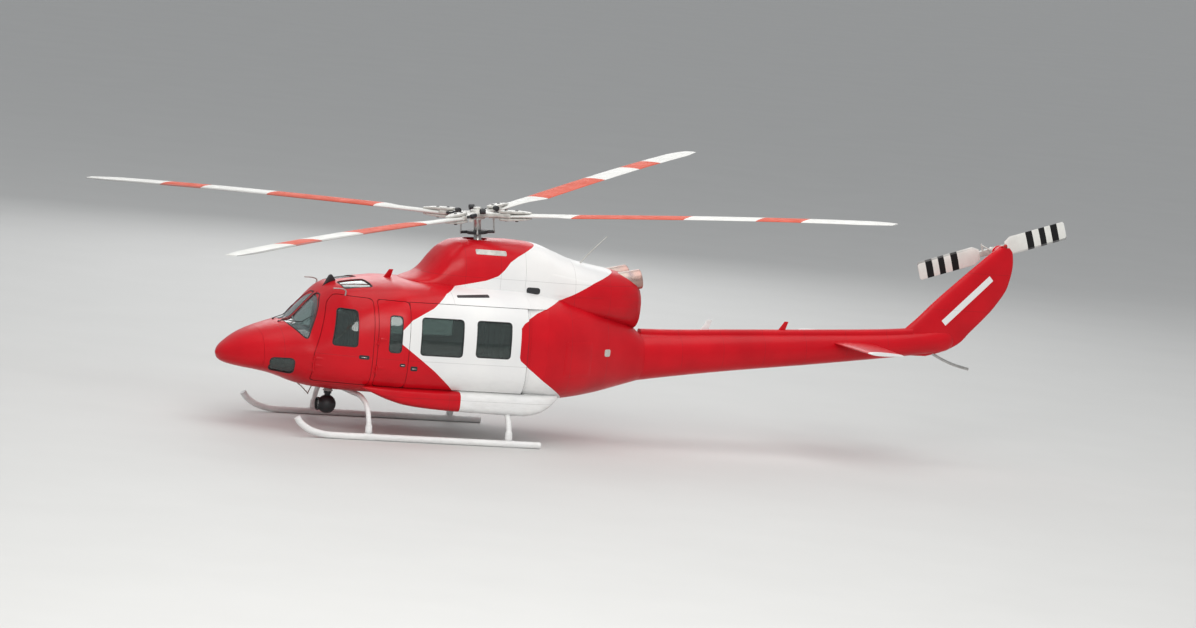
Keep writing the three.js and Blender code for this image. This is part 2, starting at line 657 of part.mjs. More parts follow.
function landingGear() {
  const run = [-870, -400, 600, 1900, 2300].map((x) => [x, SKID_Y, SKID_Z]);
  const toe = [[2580, SKID_Y, 62], [2800, SKID_Y, 120], [2950, SKID_Y, 215], [3010, SKID_Y, 290]];
  const skid = tube([...run, ...toe], SKID_R, 28, 10);
  addPair("skid", skid, "white");
  const bow = (x, radius) => {
    const path = [-1, 1].flatMap((side) => {
      const half = [[SKID_Y, SKID_R + 20], [1300, 260], [1160, 470], [850, 585], [400, 595]];
      const points = half.map(([y, z]) => [x, side * y, z]);
      return side < 0 ? points : points.reverse();
    });
    return tube(path, radius, 28, 10);
  };
  const clear = both(tube([...run, ...toe], SKID_R + GAP, 28, 10)).add(hull(-GAP));
  const tubes = [bow(1870, 38), bow(-360, 42)];
  add("cross_tube_front", tubes[0].subtract(clear), "white");
  add("cross_tube_rear", tubes[1].subtract(clear), "white");
  // Long side fairing under the doors: x, inner and outer side, lowest and highest.
  const step = loft(
    [
      [1960, 1080, 1150, 760, 775],
      [1800, 1000, 1205, 690, 784],
      [1540, 920, 1248, 595, 784],
      [1260, 860, 1262, 528, 784],
      [900, 830, 1266, 492, 784],
      [400, 820, 1266, 470, 784],
      [-600, 820, 1255, 455, 784],
      [-850, 830, 1225, 500, 784],
      [-1050, 850, 1160, 610, 784],
      [-1170, 880, 1080, 720, 782],
    ].map(([x, inner, outer, low, high]) => {
      const ring = [];
      for (let i = 0; i < 16; i++) {
        const [c, s] = [Math.cos((Math.PI * i) / 8), Math.sin((Math.PI * i) / 8)];
        const power = 2 / 3.4;
        const y = (inner + outer) / 2 + ((outer - inner) / 2) * Math.sign(c) * Math.abs(c) ** power;
        const z = (low + high) / 2 + ((high - low) / 2) * Math.sign(s) * Math.abs(s) ** power;
        ring.push(new THREE.Vector3(x, y, z));
      }
      return ring;
    }),
  );
  addPair("side_fairing", step.subtract(hull(-GAP)).subtract(bow(-360, 42 + GAP)), "white");
}

function interior() {
  const room = hull(SKIN + 5);
  const low = FLOOR_Z + GAP;
  const legs = box(2500, 2800, -300, 300, 0, 1000);
  const panel = box(2570, 2745, -700, 700, low, 1480).subtract(legs);
  add("instrument_panel", panel.intersect(room), "dark");
  const seat = union(box(1830, 2310, 300, 780, low, 1170), box(1720, 1840, 300, 780, low, 1860));
  addPair("crew_seat", seat, "dark");
  const bench = union(box(-530, -60, -1050, 1050, low, 1140), box(-530, -420, -1050, 1050, low, 1780));
  add("cabin_bench", bench, "trim");
}

// A lamp that swivels under the nose, on a fixed mount.
const LAMP = { x: 2200, y: 250, z: 375, radius: 140, foot: 575 }; // the foot is its mount's

function searchlight() {
  const { x, y, z, radius, foot } = LAMP;
  const mount = cylinder([x, y, foot], [x, y, 700], 75, 75, 20);
  add("searchlight_mount", mount.subtract(hull(-GAP)), "grey");
  const ball = new THREE.SphereGeometry(radius, 16, 10);
  ball.translate(x, y, z);
  const barrel = cylinder([x - 60, y, z], [x + radius + 16, y, z], 100, 100, 20);
  const neck = cylinder([x, y, z], [x, y, foot - GAP], 45, 45, 16);
  add("searchlight", union(solidOf(ball), barrel, neck), "dark");
}

const path = doorPath();
cabin(path);
const hold = hull(AFT_WALL, AFT_BULKHEAD + 1, -2700);
add("aft_fuselage", hull(0, AFT_BULKHEAD - GAP, -1e5).subtract(path).subtract(hold), "red");
door("crew_door", CREW_DOOR, [CREW_WINDOW], hinges(CREW_HINGE, -1));
door("hinged_panel", PANEL_DOOR, [PANEL_WINDOW], hinges(PANEL_HINGE, -1), CORNER, [swingCut()]);
door("sliding_door", SLIDING_DOOR, SLIDING_WINDOWS, runners(), 0);
glazing();
noseDoor();
cowlings();
engineBlock();
tail();
tailRotor();
mainRotor();
landingGear();
interior();
searchlight();

export default craft;
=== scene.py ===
import json

import bpy
import numpy as np
from mathutils import Matrix, Vector


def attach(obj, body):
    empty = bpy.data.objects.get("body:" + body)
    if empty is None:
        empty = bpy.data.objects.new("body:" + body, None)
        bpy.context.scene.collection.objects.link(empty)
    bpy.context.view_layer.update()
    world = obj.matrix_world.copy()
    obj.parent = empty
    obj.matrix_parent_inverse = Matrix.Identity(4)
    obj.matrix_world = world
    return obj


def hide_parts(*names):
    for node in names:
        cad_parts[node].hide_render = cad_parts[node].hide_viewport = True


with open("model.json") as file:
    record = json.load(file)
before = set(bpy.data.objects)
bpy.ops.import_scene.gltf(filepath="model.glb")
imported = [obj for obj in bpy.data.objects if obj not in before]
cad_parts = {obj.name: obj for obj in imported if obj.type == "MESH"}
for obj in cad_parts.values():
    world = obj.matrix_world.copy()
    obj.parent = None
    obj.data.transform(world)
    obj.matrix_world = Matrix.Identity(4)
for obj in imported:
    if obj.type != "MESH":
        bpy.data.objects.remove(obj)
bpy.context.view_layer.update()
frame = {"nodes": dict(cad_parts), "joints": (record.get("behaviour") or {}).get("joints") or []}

# A twin-engined medium helicopter in red and white on high skids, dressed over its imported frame.
# Metres. +X points to the nose, +Y to the left side, +Z up, and z = 0 is the ground under the skids.
# The tables give x from the rotor mast; MAST_X moves it into the frame.

JOINTS = {j["name"]: j for j in frame["joints"]}
HUB = np.array(JOINTS["main_rotor_spin"]["pos_m"])
MAST_X = HUB[0]
MAST_TILT = np.arcsin(JOINTS["main_rotor_spin"]["axis"][0])
BLADE_AZIMUTH = np.radians(41.5)
TAIL_HUB = np.array(JOINTS["tail_rotor_spin"]["pos_m"])
TAIL_TILT = np.radians(18)
ROTOR_RADIUS = 7.01
TAIL_RADIUS = 1.295
SKIN = 0.050  # cabin wall
COWL_WALL = 0.030
NOSE_WALL = 0.030
AFT_WALL = 0.080
BOOM_WALL = 0.040
END_WALL = 0.060  # the bulkhead behind the cabin
FRONT_WALL = 0.040  # the bulkhead in the nose
DOOR_THICK = 0.042
DOOR_GAP = 0.008  # round a door, in its doorway
RECESS = 0.048  # depth of the way that a sliding door moves along
PANE_DEPTH = 0.014  # how far a pane lies in from the outer face
GLASS = 0.008  # a pane's thickness
HAIR = 0.0006  # a pane's clearance in its opening
NEAR = 0.0015  # how close to a surface counts as on it
FLOOR_Z = 0.790
SILL = 0.7983  # the doors' lower edge
LINTEL = 2.075  # and their upper one
TRAVEL = 1.8  # of a sliding door
ROOF_SPLIT = 2.050  # where the roof section starts
NOSE_SPLIT = 3.370  # where the nose door starts
NOSE_BACK = 2.765  # where the floor ends and the nose section starts
POST_FRONT = 1.980  # the front of the post behind the crew door
BULKHEAD = -0.600
BOOM_START = -2.800
PYLON_SPLIT = -0.640  # between the pylon fairing and the engine cowling
GAP = 0.0003  # between pieces that sit on each other
OUT = 1.7  # beyond the widest side
TOP = 3.0  # above everything but the rotor
UP = (0, 0, 1)
SIDES = ((1, "left"), (-1, "right"))

# Body sections: x, half width, lowest, highest and widest height, the roundness over and under the
# widest height, and how far the sides are swept back.
HULL = np.array([
    [3.942, 0.012, 1.028, 1.046, 1.038, 2.0, 2.0, 0.0],
    [3.930, 0.060, 1.000, 1.075, 1.040, 2.0, 2.0, 0.0],
    [3.890, 0.185, 0.935, 1.140, 1.040, 2.1, 2.1, 0.015],
    [3.790, 0.340, 0.890, 1.228, 1.040, 2.2, 2.2, 0.040],
    [3.620, 0.510, 0.858, 1.345, 1.045, 2.3, 2.4, 0.070],
    [3.400, 0.665, 0.832, 1.448, 1.055, 2.4, 2.5, 0.100],
    [3.200, 0.780, 0.800, 1.520, 1.070, 2.4, 2.6, 0.120],
    [2.950, 0.905, 0.735, 1.595, 1.095, 2.5, 2.8, 0.140],
    [2.830, 0.955, 0.695, 1.630, 1.108, 2.5, 2.9, 0.150],
    [2.740, 0.990, 0.672, 1.722, 1.120, 2.5, 2.9, 0.150],
    [2.600, 1.040, 0.648, 1.882, 1.140, 2.5, 3.0, 0.145],
    [2.450, 1.085, 0.634, 2.040, 1.165, 2.6, 3.0, 0.120],
    [2.320, 1.118, 0.626, 2.150, 1.185, 2.7, 3.1, 0.090],
    [2.180, 1.150, 0.621, 2.215, 1.205, 2.8, 3.2, 0.055],
    [1.900, 1.213, 0.620, 2.268, 1.230, 3.0, 3.3, 0.0],
    [1.600, 1.275, 0.620, 2.300, 1.245, 3.2, 3.4, 0.0],
    [1.340, 1.310, 0.620, 2.322, 1.250, 3.4, 3.4, 0.0],
    [-0.540, 1.310, 0.620, 2.322, 1.250, 3.4, 3.4, 0.0],
    [-1.000, 1.230, 0.632, 2.300, 1.260, 3.2, 3.3, 0.0],
    [-1.500, 1.050, 0.680, 2.240, 1.280, 3.0, 3.1, 0.0],
    [-2.000, 0.790, 0.762, 2.130, 1.300, 2.8, 2.9, 0.0],
    [-2.400, 0.570, 0.858, 1.980, 1.315, 2.6, 2.7, 0.0],
    [-2.800, 0.400, 0.968, 1.700, 1.330, 2.4, 2.5, 0.0],
])
CABIN_X = 1.340  # where the cabin's constant section starts
BOOM = np.array([
    [-2.800, 0.400, 0.968, 1.700, 1.330, 2.4, 2.5, 0.0],
    [-3.300, 0.352, 1.045, 1.715, 1.370, 2.3, 2.4, 0.0],
    [-4.300, 0.292, 1.185, 1.770, 1.465, 2.2, 2.3, 0.0],
    [-5.700, 0.238, 1.360, 1.845, 1.590, 2.2, 2.2, 0.0],
    [-7.000, 0.192, 1.535, 1.925, 1.720, 2.1, 2.1, 0.0],
    [-7.500, 0.168, 1.608, 1.975, 1.785, 2.1, 2.1, 0.0],
    [-7.900, 0.120, 1.670, 2.020, 1.845, 2.0, 2.0, 0.0],
])
TAIL_CONE = np.array([
    [-8.020, 0.098, 1.700, 2.005, 1.862, 2.0, 2.0, 0.0],
    [-8.100, 0.062, 1.750, 1.972, 1.872, 2.0, 2.0, 0.0],
    [-8.140, 0.028, 1.810, 1.925, 1.876, 2.0, 2.0, 0.0],
    [-8.150, 0.006, 1.865, 1.885, 1.877, 2.0, 2.0, 0.0],
])
COWL = np.array([
    [1.170, 0.260, 2.190, 2.300, 2.250, 2.0, 2.0, 0.0],
    [1.100, 0.340, 2.215, 2.338, 2.290, 2.1, 2.0, 0.0],
    [1.000, 0.400, 2.240, 2.380, 2.320, 2.2, 2.2, 0.0],
    [0.860, 0.450, 2.200, 2.455, 2.300, 2.3, 2.4, 0.0],
    [0.740, 0.495, 2.160, 2.570, 2.290, 2.4, 2.5, 0.0],
    [0.620, 0.530, 2.130, 2.740, 2.280, 2.6, 2.8, 0.0],
    [0.500, 0.555, 2.100, 2.865, 2.270, 2.8, 3.0, 0.0],
    [0.300, 0.590, 2.060, 2.962, 2.260, 3.0, 3.0, 0.0],
    [0.000, 0.615, 2.040, 2.994, 2.255, 3.0, 3.0, 0.0],
    [-0.500, 0.660, 2.000, 3.004, 2.250, 3.0, 3.0, 0.0],
    [-0.940, 0.715, 1.980, 2.978, 2.240, 3.0, 3.0, 0.0],
    [-1.200, 0.750, 1.950, 2.894, 2.230, 3.0, 3.0, 0.0],
    [-1.500, 0.770, 1.900, 2.790, 2.220, 3.0, 3.0, 0.0],
    [-1.900, 0.740, 1.870, 2.705, 2.210, 2.9, 2.9, 0.0],
    [-2.300, 0.640, 1.830, 2.640, 2.200, 2.8, 2.8, 0.0],
    [-2.540, 0.530, 1.790, 2.570, 2.180, 2.6, 2.6, 0.0],
    [-2.640, 0.430, 1.770, 2.470, 2.120, 2.5, 2.5, 0.0],
])

# Openings and doors as outlines in the side view: x, z, with their corner radius.
CREW_DOOR = [(1.880, SILL), (2.700, SILL), (2.700, 1.210), (2.455, 1.940), (2.340, LINTEL), (1.880, LINTEL)]
CREW_WINDOW = [(2.105, 1.362), (2.465, 1.362), (2.365, 1.900), (2.105, 1.900)]
PANEL_DOOR = [(1.350, SILL), (1.812, SILL), (1.812, LINTEL), (1.350, LINTEL)]
PANEL_WINDOW = [(1.465, 1.325), (1.650, 1.325), (1.650, 1.870), (1.465, 1.870)]
SLIDING_DOOR = [(-0.540, SILL), (1.342, SILL), (1.342, LINTEL), (-0.540, LINTEL)]
SLIDING_WINDOWS = [
    [(0.500, 1.315), (1.165, 1.315), (1.165, 1.870), (0.500, 1.870)],
    [(-0.265, 1.330), (0.285, 1.330), (0.285, 1.870), (-0.265, 1.870)],
]
CHIN_WINDOW = [(2.950, 0.855), (3.290, 0.885), (3.290, 1.080), (2.960, 1.100)]
WINDSCREEN = [(2.785, 1.385), (3.000, 1.600), (3.000, 2.300), (2.445, 2.300), (2.445, 2.030), (2.490, 1.985)]
ROOF_WINDOW = [(1.790, 0.130), (2.190, 0.120), (2.190, 0.560), (1.790, 0.680)]  # in the plan view: x, y
CENTRE_POST = 0.034
CORNER = 0.060
SIDE_IN = 0.300  # how far in a side cut reaches
DOOR_IN = 0.500

# The livery's edges up the side: height, x from the mast. White lies between them.
FRONT_EDGE = [(0.40, 0.44), (0.784, 0.44), (0.785, 0.55), (0.87, 0.65), (1.08, 0.91), (1.25, 1.15), (1.46, 1.46),
              (1.52, 1.51), (1.61, 1.51), (1.82, 1.32), (1.92, 1.14), (2.01, 0.97), (2.21, 0.71), (2.29, 0.51),
              (2.42, -0.03), (2.50, -0.21), (2.59, -0.30), (2.72, -0.40), (2.81, -0.53), (2.91, -0.72), (3.02, -0.97)]
REAR_EDGE = [(0.40, -1.80), (0.60, -1.54), (0.77, -1.27), (1.01, -0.86), (1.31, -0.44), (1.36, -0.42), (1.80, -0.42),
             (1.87, -0.47), (2.02, -0.71), (2.14, -1.01), (2.22, -1.22), (2.30, -1.39), (2.49, -1.73), (2.58, -1.95),
             (2.64, -2.13), (3.02, -3.02)]
WHITE_TIP = 1.32  # the stabilisers are white from here outwards
FIN_STRIPE = [(-7.91, 2.14), (-8.66, 2.89)]  # lower and upper end: x, z
RED = (0.60, 0.004, 0.012, 1)
WHITE = (0.84, 0.84, 0.83, 1)

DOOR_CORE = HULL[HULL[:, 0] == CABIN_X].repeat(2, 0)  # the cabin's section carried on behind the sliding doors
DOOR_CORE[:, 0] = [CABIN_X, SLIDING_DOOR[0][0] - TRAVEL - 0.06]

scratch = []  # cutting tools


# Numbers along the body
def column(rows, key, x):
    """A table's column at x: cubics between the rows, with each row's slope the harmonic mean of its two sides."""
    xs, ys = rows[::-1, 0], rows[::-1, key]
    width = np.diff(xs)
    slope = np.diff(ys) / width
    tangent = np.empty_like(ys)
    tangent[0], tangent[-1] = slope[0], slope[-1]
    a, b = slope[:-1], slope[1:]
    same = a * b > 0
    tangent[1:-1] = np.where(same, 2 * a * b / np.where(same, a + b, 1), 0)
    x = np.clip(x, xs[0], xs[-1])
    i = np.clip(np.searchsorted(xs, x) - 1, 0, len(width) - 1)
    t = (x - xs[i]) / width[i]
    low = ys[i] * (2 * t**3 - 3 * t**2 + 1) + tangent[i] * width[i] * (t**3 - 2 * t**2 + t)
    return low + ys[i + 1] * (3 * t**2 - 2 * t**3) + tangent[i + 1] * width[i] * (t**3 - t**2)


def points_at(x, y, z):
    """Points in the frame from x from the mast, y and z, where one number may stand for all."""
    return np.stack(np.broadcast_arrays(x + MAST_X, y, z), -1)


def section(rows, x, angle, inset):
    """Points at station x in direction angle, from the left side over the top: where the ray from the section's
    middle meets its superellipse. The sides then move back by the sweep times (y / half)^2."""
    x, angle = np.broadcast_arrays(x, angle)
    half, low, high, wide, over, under, sweep = (column(rows, key, x) for key in range(1, 8))
    half, low, high = half - inset, low + inset, high - inset
    c, s = np.cos(angle), np.sin(angle)
    power = np.where(s >= 0, over, under)
    height = np.where(s >= 0, high - wide, wide - low)
    reach = (np.abs(c / half) ** power + np.abs(s / height) ** power) ** (-1 / power)
    y = reach * c
    return points_at(x - sweep * (y / half) ** 2, y, wide + reach * s)


def outside(rows, points, inset):
    """How far out of a body points lie, as a share of its size and negative inside: the superellipse's own sum
    to the power one over its roundness, less one, at the station found by adding the sweep back four times."""
    x = points[..., 0] - MAST_X
    at = x
    for _ in range(4):
        at = x + column(rows, 7, at) * (points[..., 1] / (column(rows, 1, at) - inset)) ** 2
    half, low, high, wide, over, under = (column(rows, key, at) for key in range(1, 7))
    up = points[..., 2] >= wide
    power = np.where(up, over, under)
    height = np.where(up, high - wide, wide - low) - inset
    y = np.abs(points[..., 1] / (half - inset))
    return (y**power + np.abs((points[..., 2] - wide) / height) ** power) ** (1 / power) - 1


def outward(rows, points, inset=0.0):
    """Unit directions out of a body at points: the gradient of outside, from differences of a tenth of a millimetre."""
    step = 1e-4 * np.eye(3)
    slopes = [outside(rows, points + e, inset) - outside(rows, points - e, inset) for e in step]
    gradient = np.stack(slopes, -1)
    return gradient / np.maximum(np.linalg.norm(gradient, axis=-1, keepdims=True), 1e-12)


def side_points(rows, x, z, side, inset=0.0):
    """Points on a body's side at x from the mast and height z: y solved from the superellipse, and the sweep by
    putting the last y back in eight times."""
    x, z = np.broadcast_arrays(np.asarray(x, float), np.asarray(z, float))
    at = x
    for _ in range(8):
        half, low, high, wide, over, under, sweep = (column(rows, key, at) for key in range(1, 8))
        up = z >= wide
        power = np.where(up, over, under)
        height = np.where(up, high - wide, wide - low) - inset
        share = np.clip(np.abs((z - wide) / height), 0, 1)
        y = (half - inset) * (1 - share**power) ** (1 / power)
        at = x + sweep * (y / (half - inset)) ** 2
    return points_at(x, side * y, z)


def top_points(rows, x, y, inset=0.0):
    """Points on a body's top at x from the mast and y: z solved from the superellipse."""
    x, y = np.broadcast_arrays(np.asarray(x, float), np.asarray(y, float))
    at = x
    for _ in range(8):
        at = x + column(rows, 7, at) * (y / column(rows, 1, at)) ** 2
    half, high, wide, over = (column(rows, key, at) for key in (1, 3, 4, 5))
    share = np.clip(np.abs(y / (half - inset)), 0, 1)
    return points_at(x, y, wide + (high - inset - wide) * (1 - share**over) ** (1 / over))


# Meshes
def tool(made):
    """Marks an object as a cutting tool, which is deleted at the end."""
    scratch.append(made)
    return made


def piece(name, points, faces):
    """A mesh object at the origin, from an array of points and faces whose normals are turned outwards."""
    points = np.asarray(points, float).reshape(-1, 3)
    triangles = np.array([(f[0], f[i], f[i + 1]) for f in faces for i in range(1, len(f) - 1)])
    a, b, c = (points[triangles[:, i]] for i in range(3))
    if np.einsum("ij,ij->i", a, np.cross(b, c)).sum() < 0:
        faces = [tuple(reversed(f)) for f in faces]
    mesh = bpy.data.meshes.new(name)
    mesh.from_pydata(points.tolist(), [], faces)
    made = bpy.data.objects.new(name, mesh)
    bpy.context.collection.objects.link(made)
    return made


def grid_faces(rows, around):
    """Quads between neighbouring rows of a grid, whose columns close into a ring."""
    i, j = np.meshgrid(np.arange(rows - 1), np.arange(around), indexing="ij")
    k = (j + 1) % around
    quads = np.stack([i * around + j, i * around + k, (i + 1) * around + k, (i + 1) * around + j], -1)
    return [tuple(q) for q in quads.reshape(-1, 4).tolist()]


def loft(name, rings, ring=False):
    """A closed body through rings of points: quads between them, and a fan over each end unless the last joins the
    first in a ring."""
    rings = np.asarray(rings, float)
    count, around = rings.shape[:2]
    points = rings.reshape(-1, 3)
    if ring:
        faces = grid_faces(count, around)
        last = (count - 1) * around
        faces += [(last + j, last + (j + 1) % around, (j + 1) % around, j) for j in range(around)]
        return piece(name, points, faces)
    middles = rings[[0, -1]].mean(1)
    faces = grid_faces(count, around)
    first, last = count * around, count * around + 1
    faces += [((j + 1) % around, j, first) for j in range(around)]
    faces += [((count - 1) * around + j, (count - 1) * around + (j + 1) % around, last) for j in range(around)]
    return piece(name, np.vstack([points, middles]), faces)


def body(name, rows, inset=0.0, step=0.04, around=144, front=None, back=None):
    """A body through its table, with a ring of points every step and in any direction around."""
    front = rows[0, 0] if front is None else front
    back = rows[-1, 0] if back is None else back
    x = np.linspace(front, back, max(2, int(round((front - back) / step)) + 1))
    angle = np.linspace(0, 2 * np.pi, around, endpoint=False)
    return loft(name, section(rows, x[:, None], angle[None, :], inset))


def under_hull(step):
    """The cutting tool that seats a piece on the hull, a gap away from it."""
    return tool(body("under", HULL, -GAP, step))


def block(x0, x1, y0, y1, z0, z1):
    """A plain cutting block between two corners, x from the mast."""
    x, y, z = (x0 + MAST_X, x1 + MAST_X), (y0, y1), (z0, z1)
    points = [(a, b, c) for a in x for b in y for c in z]
    faces = [(0, 1, 3, 2), (4, 6, 7, 5), (0, 4, 5, 1), (2, 3, 7, 6), (0, 2, 6, 4), (1, 5, 7, 3)]
    return tool(piece("block", points, faces))


def span(x0, x1, z0=0.0, z1=TOP):
    """A plain cutting block across the whole width."""
    return block(x0, x1, -OUT, OUT, z0, z1)


def grown(outline, by):
    """An outline with every side moved outwards by the same distance, its corners where the moved sides meet."""
    p = np.asarray(outline, float)
    along = np.roll(p, -1, 0) - p
    along /= np.linalg.norm(along, axis=1, keepdims=True)
    after = np.stack([along[:, 1], -along[:, 0]], 1)
    before = np.roll(after, 1, 0)
    return p + by * (before + after) / (1 + (before * after).sum(1))[:, None]


def rounded(outline, radius=CORNER, step=0.03, bend=6):
    """Points round an outline: straight sides with a point every step, and corners as quadratic curves."""
    p = np.asarray(outline, float)
    out = []
    t = np.linspace(0, 1, bend + 1)[:, None]
    for i in range(len(p)):
        before, here, after = p[i - 1], p[i], p[(i + 1) % len(p)]
        far = np.linalg.norm(after - here)
        cut = [min(radius, 0.45 * np.linalg.norm(q - here)) for q in (before, after)]
        start = here + (before - here) / np.linalg.norm(before - here) * cut[0]
        end = here + (after - here) / far * cut[1]
        out.append((1 - t) ** 2 * start + 2 * t * (1 - t) * here + t**2 * end if radius else here[None, :])
        leave = after + (here - after) / far * min(radius, 0.45 * far)
        pieces = max(1, int(np.linalg.norm(leave - end) / step))
        u = np.linspace(0, 1, pieces + 1)[1:-1, None]
        out.append(end + (leave - end) * u if radius else here + (after - here) * u)
    return np.vstack(out)


def side_cut(outline, radius=CORNER, inner=SIDE_IN, side=1):
    """A cutting tool: a rounded side-view outline pushed from inner to beyond the widest side."""
    ring = rounded(outline, radius)
    return tool(loft("side_cut", [points_at(ring[:, 0], side * y, ring[:, 1]) for y in (inner, OUT)]))


def top_cut(outline, low, high, side=1):
    """A cutting tool: a rounded plan-view outline pushed from one height to another."""
    ring = rounded(outline, CORNER)
    return tool(loft("top_cut", [points_at(ring[:, 0], side * ring[:, 1], z) for z in (low, high)]))


def duplicate(source, name):
    """A copy of an object with its own mesh."""
    made = bpy.data.objects.new(name, source.data.copy())
    bpy.context.collection.objects.link(made)
    return made


def settled(made):
    """An object whose modifiers are worked into its mesh."""
    graph = bpy.context.evaluated_depsgraph_get()
    mesh = bpy.data.meshes.new_from_object(made.evaluated_get(graph), depsgraph=graph)
    made.modifiers.clear()
    made.data = mesh
    return made


def carved(made, cut=(), keep=(), join=()):
    """A body cut down to what lies in each keep, less each cut, plus each join."""
    steps = [(t, "INTERSECT") for t in keep] + [(t, "DIFFERENCE") for t in cut] + [(t, "UNION") for t in join]
    for other, operation in steps:
        step = made.modifiers.new("carve", "BOOLEAN")
        step.operation = operation
        step.solver = "MANIFOLD"
        step.object = other
    return settled(made)


def read(items, what, kind=int, width=1):
    """One attribute of all of a mesh's items as an array, with a row for each item where it is wider than one."""
    values = np.empty(len(items) * width, kind)
    items.foreach_get(what, values)
    return values.reshape(-1, width) if width > 1 else values


def vertex_places(mesh):
    """All the mesh's vertices as one array."""
    return read(mesh.vertices, "co", float, 3)


def placed(made, place):
    """An object whose vertices are moved by a function of all of them."""
    points = place(vertex_places(made.data))
    made.data.vertices.foreach_set("co", points.ravel())
    made.data.update()
    return made


def mirror(made, name):
    """The piece's mirror image on the right side, its faces turned back outwards."""
    copy = placed(duplicate(made, name), lambda p: p * (1, -1, 1))
    copy.data.flip_normals()
    return copy


def pair(left):
    """A left piece and its mirror image, each with the name of its side."""
    return (left, "left"), (mirror(left, left.name.replace("_left", "_right")), "right")


def face_places(made, what):
    """Each face's middle or normal."""
    return read(made.data.polygons, what, float, 3)


def give_material(made, slot, chosen):
    """Gives the chosen faces the material in a slot."""
    index = read(made.data.polygons, "material_index")
    index[chosen] = slot
    made.data.polygons.foreach_set("material_index", index)


def polish(made, rows, depth=0.0, inner=None, more=()):
    """Gives a carved shell the body's own smooth normals on its outer face, and the second material on its inner
    face, which lies inner deep. More holds other bodies and depths that its outside follows. Cut edges stay flat."""
    mesh = made.data
    points = vertex_places(mesh)
    corners = read(mesh.loops, "vertex_index")
    starts, totals = read(mesh.polygons, "loop_start"), read(mesh.polygons, "loop_total")
    flat = np.repeat(face_places(made, "normal"), totals, 0)
    normals = flat.copy()
    for shape, inset, slot in ((rows, depth, 0), (rows, inner, 1), *more):
        if inset is None:
            continue
        on = np.abs(outside(shape, points, inset)) < NEAR * 1.5
        direction = outward(shape, points, inset)
        face_on = np.logical_and.reduceat(on[corners], starts)
        lean = (flat * direction[corners]).sum(1)
        smooth = np.repeat(face_on, totals) & (np.abs(lean) > 0.8)
        normals[smooth] = direction[corners][smooth] * np.sign(lean[smooth])[:, None]
        if slot:
            give_material(made, slot, face_on & np.logical_or.reduceat(np.abs(lean) > 0.8, starts))
    mesh.polygons.foreach_set("use_smooth", np.ones(len(mesh.polygons), bool))
    mesh.normals_split_custom_set(normals.tolist())
    return made


def shade(made, angle=35):
    """Smooth shading, with edges sharper than the angle left sharp."""
    mesh = made.data
    mesh.polygons.foreach_set("use_smooth", np.ones(len(mesh.polygons), bool))
    mesh.set_sharp_from_angle(angle=np.radians(angle))
    return made


def finish_piece(made, materials, replaces=(), ride="airframe"):
    """Gives a piece its materials, its body and the nodes it stands for."""
    index = read(made.data.polygons, "material_index")
    if not isinstance(materials, list):
        materials, index = [materials], index * 0
    made.data.materials.clear()
    for material in materials:
        made.data.materials.append(material)
    made.data.polygons.foreach_set("material_index", index)
    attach(made, ride)
    if replaces:
        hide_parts(*([replaces] if isinstance(replaces, str) else replaces))
    return made


def smooth_path(points, count):
    """A curve through points: cubics with centripetal tangents, the ends carried on straight."""
    p = np.asarray(points, float)
    p = np.vstack([2 * p[0] - p[1], p, 2 * p[-1] - p[-2]])
    gap = np.sqrt(np.linalg.norm(np.diff(p, axis=0), axis=1))[:, None]
    t = (p[1:-1] - p[:-2]) / gap[:-1] - (p[2:] - p[:-2]) / (gap[:-1] + gap[1:]) + (p[2:] - p[1:-1]) / gap[1:]
    s = np.linspace(0, len(points) - 1, count)
    i = np.minimum(s.astype(int), len(points) - 2)
    u = (s - i)[:, None]
    a, b, w = p[i + 1], p[i + 2], gap[i + 1]
    first, second = t[i] * w, t[i + 1] * w
    curve = a * (2 * u**3 - 3 * u**2 + 1) + first * (u**3 - 2 * u**2 + u)
    return curve + b * (3 * u**2 - 2 * u**3) + second * (u**3 - u**2)


def side_path(path, y, count):
    """A curve through side-view points x from the mast and z, all at one y."""
    x, z = np.array(path, float).T
    return smooth_path(points_at(x, y, z), count)


def swept(path, profile, up, closed=False):
    """Rings of a profile carried along a path: its first coordinate points across the path and its second along up,
    made square to the path."""
    path = np.asarray(path, float)
    profile = np.asarray(profile, float)
    if closed:
        along = np.roll(path, -1, 0) - np.roll(path, 1, 0)
    else:
        along = np.gradient(path, axis=0)
    along /= np.linalg.norm(along, axis=1, keepdims=True)
    up = np.broadcast_to(np.asarray(up, float), path.shape)
    across = np.cross(along, up)
    across /= np.linalg.norm(across, axis=1, keepdims=True)
    up = np.cross(across, along)
    return path[:, None] + profile[None, :, :1] * across[:, None] + profile[None, :, 1:] * up[:, None]


def pipe(name, path, radius, up, around=16):
    """A round rod along a path, its radius one number or one for each point."""
    rings = swept(path, np.stack(softened(1, around), 1), up)
    centre = np.asarray(path, float)[:, None]
    radius = np.broadcast_to(np.asarray(radius, float), (len(path),))[:, None, None]
    return loft(name, centre + (rings - centre) * radius)


def turned(name, start, direction, profile, around):
    """A solid of revolution: profile pairs of distance along the direction and radius."""
    direction = np.asarray(direction, float) / np.linalg.norm(direction)
    side = np.cross(direction, UP if abs(direction[2]) < 0.9 else (1, 0, 0))
    side /= np.linalg.norm(side)
    third = np.cross(direction, side)
    a = np.linspace(0, 2 * np.pi, around, endpoint=False)
    spokes = np.cos(a)[:, None] * side + np.sin(a)[:, None] * third
    profile = np.asarray(profile, float)
    rings = np.asarray(start) + profile[:, :1, None] * direction + profile[:, 1:, None] * spokes[None]
    return loft(name, rings)


def softened(power, around):
    """A superellipse's two coordinates round a circle: cosine and sine to a power below one, each with its sign."""
    a = np.linspace(0, 2 * np.pi, around, endpoint=False)
    return [np.sign(wave) * np.abs(wave) ** power for wave in (np.cos(a), np.sin(a))]


